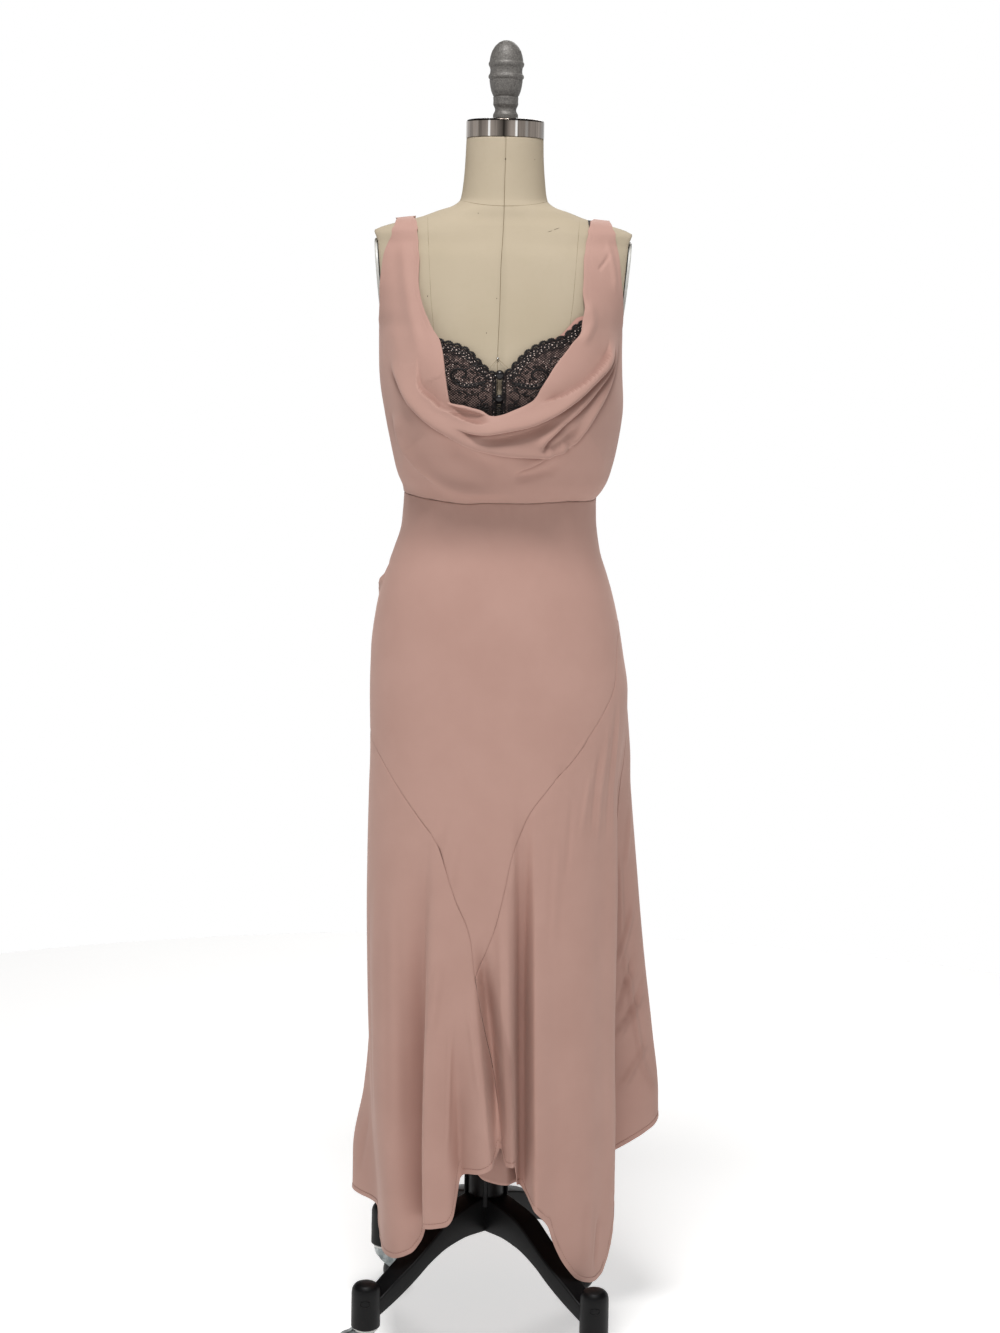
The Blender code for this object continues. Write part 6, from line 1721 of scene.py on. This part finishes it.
def coveredButton(level):
    z = buttonShape[level]
    seat, normal = laceSpot(buttonShape["x"], z, laceShape["laceOut"] + 0.3 * mm)
    rows = [(share * buttonShape["radius"], height * mm) for share, height in buttonShape["profile"]]
    points, faces = turnedMesh(roundProfile(rows, 0.0004, 2), int(48 * detail))
    spot = Matrix.Translation(seat) @ Vector(normal).to_track_quat("Z", "Y").to_matrix().to_4x4()
    item = makeObject("covered_button_" + level, moved(points, spot), faces, buttonSatin)
    fileDown(item, "covered_button", "button_" + level)
    # the elastic loop round the button, anchored at the left half
    bundle = Bundle()
    angles = np.radians(np.linspace(-150, 150, 30))
    round_ = buttonShape["radius"] * 1.05 * np.stack([np.cos(angles), np.sin(angles)], -1)
    ends = [[-8.6 * mm, -1.0 * mm]], [[-8.6 * mm, 1.0 * mm]]
    flat = smoothLine(np.concatenate([ends[0], round_, ends[1]]) + (buttonShape["x"], z), 50)
    bundle.strand(*laceSpot(flat[:, 0], flat[:, 1], laceShape["laceOut"] + 0.9 * mm), 1.1 * mm, 1.1 * mm)
    fileDown(bundle.build("button_loop_" + level, laceCord), "covered_button")


coveredButton("upper")
coveredButton("lower")


def ballMesh(centre, radius, rings=10, steps=16):
    rows = [(max(radius * sin(pi * k / rings), 1e-5), -radius * cos(pi * k / rings))
            for k in range(rings + 1)]
    points, faces = turnedMesh(rows, steps)
    return points + np.asarray(centre), faces


def pinAndThreads():
    # a steel pin at the centre front holds two threads that hold the lace up
    pins, threads = Bundle(), Bundle()
    head, _ = laceSpot(-4.2 * mm, 1.4236, 1.6 * mm)
    pins.add(*ballMesh(head, 1.7 * mm))
    bead, _ = laceSpot(-7.4 * mm, 1.401, laceShape["laceOut"] + 1.3 * mm)
    pins.add(*ballMesh(bead, 0.95 * mm, 8, 12))
    for x, z in ((-14.8 * mm, 1.4105), (9.4 * mm, 1.411)):
        flat = spacedPath([[-4.2 * mm, 1.4232], [x, z]], 1.5 * mm)
        out = np.linspace(0.9 * mm, 4.6 * mm, len(flat))[:, None]
        threads.strand(*laceSpot(flat[:, 0], flat[:, 1], out), 0.4 * mm, 0.4 * mm, 4)
    fileDown(pins.build("steel_pin", steelPin), "pole_steel")
    fileDown(threads.build("holding_threads", linenThread), "cream_linen")


pinAndThreads()
print("lace, buttons and pin made")


# the stand: pole, column, cast base and four casters
standShape = {
    "baseRadius": 227 * mm, "yaw": 43, "poleRadius": 17.4 * mm, "poleBottom": 0.42,
    "columnRadius": 22.5 * mm, "columnTop": 0.62, "columnBottom": 0.1801,
    "headRadius": 20.5 * mm, "headBottom": 69 * mm, "headTop": 134 * mm,
}
legTurns = {
    "front_left": 180 + standShape["yaw"], "front_right": 270 + standShape["yaw"],
    "back_right": standShape["yaw"], "back_left": 90 + standShape["yaw"],
}
swivelRest = {"front_left": 182, "front_right": 205, "back_right": 160, "back_left": 20}
legRows = [
    # distance from the axis, top, underside, half width
    (0.01, 0.216, 0.162, 0.019), (0.045, 0.2085, 0.162, 0.019), (0.085, 0.195, 0.1555, 0.019),
    (0.12, 0.17, 0.14, 0.0185), (0.15, 0.149, 0.12, 0.018), (0.18, 0.131, 0.102, 0.017),
    (0.236, 0.096, 0.074, 0.015),
]


def roundedSection(half, low, high, ease, cuts=5):
    # an upright rectangle with eased corners, as (sideways, height) points
    points = []
    for cx, cz, start in ((half, high, 0), (-half, high, 90), (-half, low, 180), (half, low, 270)):
        for k in range(cuts + 1):
            angle = radians(start + 90 * k / cuts)
            points.append((
                cx - copysign(ease, cx) + ease * cos(angle),
                cz + (-ease if start < 180 else ease) + ease * sin(angle),
            ))
    return np.array(points)


def legEnd(turn):
    reach, angle = standShape["baseRadius"], radians(turn)
    return reach * cos(angle), reach * sin(angle)


def legLoft(bundle, turn):
    curves = [tableCurve(legRows, i) for i in range(1, 4)]
    distances = np.linspace(0.012, 0.236, int(44 * detail))
    rings = []
    for r in distances:
        top, under, half = (float(curve(r)) for curve in curves)
        section = roundedSection(half, under, top, 3.0 * mm)
        rings.append(np.column_stack([np.full(len(section), r), section]))
    spin = spun(turn)
    bundle.add(moved(np.concatenate(rings), spin), tubeFaces(len(rings), len(section)))
    # raised edge beads along both sides of the top
    for side in (-1, 1):
        path = []
        for r in np.linspace(0.052, 0.212, 60):
            top, under, half = (float(curve(r)) for curve in curves)
            path.append((r, side * (half - 1.9 * mm), top - 0.55 * mm))
        path = moved(np.array(path), spin)
        bundle.strand(path, np.repeat([[0.0, 0.0, 1.0]], len(path), 0), 2.2 * mm, 1.9 * mm, 8, taper=0.8)


def castBase():
    bundle = Bundle()
    hub = [
        (0.023, 0.1625), (0.0262, 0.1625), (0.0264, 0.164), (0.0264, 0.212),
        (0.0264, 0.215), (0.0262, 0.218), (0.0262, 0.296), (0.025, 0.2998), (0.0227, 0.3),
        (0.0227, 0.163),
    ]
    bundle.add(*turnedMesh(roundProfile(hub, 0.0016, 3), int(72 * detail), True))
    for leg, turn in legTurns.items():
        legLoft(bundle, turn)
        cx, cy = legEnd(turn)
        radius, low, high = standShape["headRadius"], standShape["headBottom"], standShape["headTop"]
        rows = [
            (0.001, low), (radius - 0.001, low), (radius, low + 0.0012), (radius - 0.0003, high - 0.014),
            (radius - 0.0016, high - 0.0072), (radius - 0.0058, high - 0.0022),
            (radius - 0.013, high - 0.0002), (0.001, high),
        ]
        points, faces = turnedMesh(roundProfile(rows, 0.0024, 4), int(64 * detail))
        bundle.add(points + np.array((cx, cy, 0.0)), faces)
        # a plain oval boss on the outer face of each head
        angles = np.radians(np.linspace(0, 360, 40, endpoint=False))
        around = radians(-90 if "front" in leg else 90) + 0.0075 * np.cos(angles) / radius
        outward = np.stack([np.cos(around), np.sin(around), angles * 0], -1)
        path = outward * (radius + 0.1 * mm)
        path += np.stack([cx + angles * 0, cy + angles * 0, 0.108 + 0.0042 * np.sin(angles)], -1)
        bundle.strand(path, outward, 1.3 * mm, 0.9 * mm, 6, True)
    # upright ribs on the hub
    for k in range(4):
        turn = standShape["yaw"] + 45.0 + 90.0 * k
        section = roundedSection(0.0035, 0.0, 0.0065, 1.2 * mm, 3)
        rings = []
        for z, scale in ((0.201, 1.0), (0.287, 1.0), (0.29, 0.65), (0.2912, 0.2)):
            out, across = 0.0255 + section[:, 1] * scale, section[:, 0]
            rings.append(np.column_stack([out, across, np.full(len(section), z)]))
        bundle.add(moved(np.concatenate(rings), spun(turn)), tubeFaces(len(rings), len(section)))
    return bundle.build("cast_base", blackCasting)


fileDown(castBase(), "black_casting", "base", body="base")


def columnMesh():
    radius, low, high = standShape["columnRadius"], standShape["columnBottom"], standShape["columnTop"]
    rows = [
        (0.0184, low + 0.01), (radius - 0.001, low), (radius, low + 0.001), (radius, high - 0.026),
        (radius + 0.0012, high - 0.025), (radius + 0.0012, high - 0.002), (radius, high),
        (0.019, high), (0.0184, high - 0.001),
    ]
    points, faces = turnedMesh(roundProfile(rows, 0.0008, 3), int(72 * detail), True)
    return makeObject("stand_column", points, faces, blackCasting)


fileDown(columnMesh(), "black_casting", "column", body="base")


def poleMesh():
    radius, low = standShape["poleRadius"], standShape["poleBottom"]
    high = formShape["bottom"] - 0.1 * mm
    rows = [(0.001, low), (radius - 0.001, low), (radius, low + 0.001), (radius, high), (0.001, high)]
    points, faces = turnedMesh(roundProfile(rows, 0.0008, 3), int(72 * detail))
    return makeObject("steel_pole", points, faces, steelTube)


fileDown(poleMesh(), "pole_steel", "pole")

casterShape = {
    "wheelRadius": 25 * mm, "wheelWidth": 15 * mm, "trail": 24 * mm, "plateRadius": 16 * mm,
    "plateThick": 3 * mm, "cheek": 2 * mm, "cheekGap": 8.3 * mm, "axleRadius": 3 * mm,
    "outline": [
        # x along the trail, z
        (-0.013, 0.0661), (-0.0128, 0.056), (-0.0085, 0.046), (0.004, 0.034), (0.0165, 0.021),
        (0.024, 0.0188), (0.0315, 0.021), (0.04, 0.033), (0.04, 0.046), (0.034, 0.056), (0.024, 0.0605),
        (0.013, 0.0661),
    ],
}


def prism(outline, low, high, ease):
    # an outline in x and z given a thickness along y, with eased edges
    outline = np.asarray(outline, float)
    ahead = np.roll(outline, -1, 0) - np.roll(outline, 1, 0)
    out = unit(np.stack([ahead[:, 1], -ahead[:, 0]], -1))
    area = (outline[:, 0] * np.roll(outline[:, 1], -1) - np.roll(outline[:, 0], -1) * outline[:, 1]).sum()
    out = out if area > 0 else -out
    rings = []
    for y, inset in ((low, ease), (low + ease, 0.0), (high - ease, 0.0), (high, ease)):
        flat = outline - out * inset
        rings.append(np.stack([flat[:, 0], np.full(len(flat), y), flat[:, 1]], -1))
    rings = np.array(rings)
    n = len(outline)
    flip = area < 0
    faces = gridFaces(4, n, 0, True, not flip)
    first, last = tuple(range(n)), tuple(range(3 * n, 4 * n))
    faces.append(first if not flip else first[::-1])
    faces.append(last[::-1] if not flip else last)
    return rings.reshape(-1, 3), faces


def caster(leg, turn):
    shape = casterShape
    spin = Matrix.Translation((*legEnd(turn), 0.0)) @ spun(swivelRest[leg])
    plateTop = standShape["headBottom"] - 0.4 * mm
    bundle = Bundle()

    def add(points, faces, matrix=spin):
        bundle.add(moved(points, matrix), faces)

    edge, low = shape["plateRadius"], plateTop - shape["plateThick"]
    rows = [
        (0.001, low), (edge - 0.0005, low), (edge, plateTop - 0.0024), (edge, plateTop - 0.0006),
        (edge - 0.0006, plateTop), (0.001, plateTop),
    ]
    add(*turnedMesh(roundProfile(rows, 0.0005, 2), int(48 * detail)))
    outline = smoothLine(shape["outline"] + shape["outline"][:1], 60)[:-1]
    gap, cheek = shape["cheekGap"], shape["cheek"]
    add(*prism(outline, -gap - cheek, -gap, 0.5 * mm))
    add(*prism(outline, gap, gap + cheek, 0.5 * mm))
    # the crown of the hood over the wheel
    crown = [(x, max(z, 0.0524)) for x, z in outline if z > 0.05]
    add(*prism(crown, -gap - 0.2 * mm, gap + 0.2 * mm, 0.1 * mm))
    # the axle with a riveted end on each side
    tilt = Matrix.Translation((shape["trail"], 0.0, shape["wheelRadius"]))
    tilt = tilt @ Matrix.Rotation(pi / 2, 4, "X")
    rivet = [(0.0004, -0.002), (0.003, -0.0018), (0.0044, -0.0008), (0.0046, 0.0), (0.003, 0.0)]
    add(*turnedMesh(mirrored(rivet, gap + cheek), int(32 * detail)), spin @ tilt)
    fork = bundle.build("caster_fork_" + leg, zincFork)
    fileDown(fork, "fork_zinc", "fork_" + leg, body="caster_" + leg)
    rows = mirrored([
        (shape["axleRadius"] + 0.35 * mm, 0.0), (0.007, 0.0), (0.0085, 0.0006), (0.0095, 0.0024),
        (0.0165, 0.0024), (0.0178, 0.0004), (0.0212, 0.0), (0.0236, 0.0012), (shape["wheelRadius"], 0.0048),
    ], shape["wheelWidth"] / 2)
    points, faces = turnedMesh(roundProfile(rows, 0.0008, 2), int(72 * detail), True)
    wheel = makeObject("caster_wheel_" + leg, moved(points, spin @ tilt), faces, nylonWheel)
    fileDown(wheel, "wheel_black", "wheel_" + leg, body="wheel_" + leg)
    # the bright ring between the head and the swivel plate turns with the fork
    rows = [(0.012, plateTop - 0.0005), (0.0168, plateTop - 0.0005), (0.0172, plateTop - 0.003),
            (0.0168, plateTop - 0.0042), (0.012, plateTop - 0.0042)]
    points, faces = turnedMesh(roundProfile(rows, 0.0006, 2), int(48 * detail), True)
    ring = makeObject("swivel_ring_" + leg, moved(points, spin), faces, steelTube)
    fileDown(ring, "fork_zinc", body="caster_" + leg)


for leg, turn in legTurns.items():
    caster(leg, turn)
print("stand made")
# a plain pale floor, soft studio light and the camera
def studioStage():
    points, faces = turnedMesh([(0.01, -0.004), (2.4, -0.004), (2.4, 0.0), (0.01, 0.0)], 96)
    floor = makeObject("studio_floor", points, faces, studioFloor, False)
    world = bpy.data.worlds.new("studioWorld")
    bpy.context.scene.world = world
    world.use_nodes = True
    # a white ring all round at eye height, and softer light from above and below
    where = addNode(world, "TexCoord", "Generated")
    rise = addNode(world, "SeparateXYZ", "Z", {"Vector": where})
    ring = studioLight["ring"]
    bands = [
        addNode(world, "MapRange", "Result", {
            "Value": rise, "From Min": ends[0], "From Max": ends[1], "To Min": low, "To Max": high,
        })
        for ends, low, high in ((ring["above"], ring["light"], ring["beyond"]),
                                (ring["below"], ring["floor"], 1.0))
    ]
    strength = addNode(world, "Math", "Value", {0: bands[0], 1: bands[1]}, operation="MULTIPLY")
    background = world.node_tree.nodes["Background"]
    background.inputs["Color"].default_value = linear("#FFFFFF")
    world.node_tree.links.new(strength, background.inputs["Strength"])
    for name, spot, aim, size, power in studioLight["lamps"]:
        lamp = bpy.data.lights.new(name, "AREA")
        lamp.shape = "RECTANGLE"
        lamp.size, lamp.size_y = size
        lamp.energy = power
        lampItem = bpy.data.objects.new(name, lamp)
        bpy.context.scene.collection.objects.link(lampItem)
        turned = (Vector(aim) - Vector(spot)).to_track_quat("-Z", "Y").to_matrix().to_4x4()
        lampItem.matrix_world = Matrix.Translation(spot) @ turned


studioLight = {
    "ring": {"above": (0.13, 0.24), "below": (-0.46, -0.32), "light": 1, "beyond": 0.03, "floor": 0.2},
    "lamps": [
        # name, place, aim, size, power
        ("ceiling", (-0.2, -1.7, 4.6), (0, 0, 1.1), (1.2, 0.7), 132),
        ("back", (0.6, 3, 3.4), (0, 0, 0.6), (2, 1.6), 45),
    ],
}
studioStage()

cameraShape = {
    "place": (-0.0057, -3.5, 1.48), "pitch": 82, "roll": 1.05, "lens": 89.712, "sensor": 36,
}
camera = bpy.data.cameras.new("dressCamera")
camera.sensor_fit = "HORIZONTAL"
camera.sensor_width = cameraShape["sensor"]
camera.lens = cameraShape["lens"]
cameraItem = bpy.data.objects.new("dressCamera", camera)
bpy.context.scene.collection.objects.link(cameraItem)
cameraItem.matrix_world = (
    Matrix.Translation(cameraShape["place"])
    @ Euler((radians(cameraShape["pitch"]), 0.0, 0.0)).to_matrix().to_4x4()
    @ Matrix.Rotation(radians(cameraShape["roll"]), 4, "Z")
)
bpy.context.scene.camera = cameraItem
bpy.context.scene.view_settings.view_transform = "Standard"
print("studio set")

bpy.context.view_layer.update()
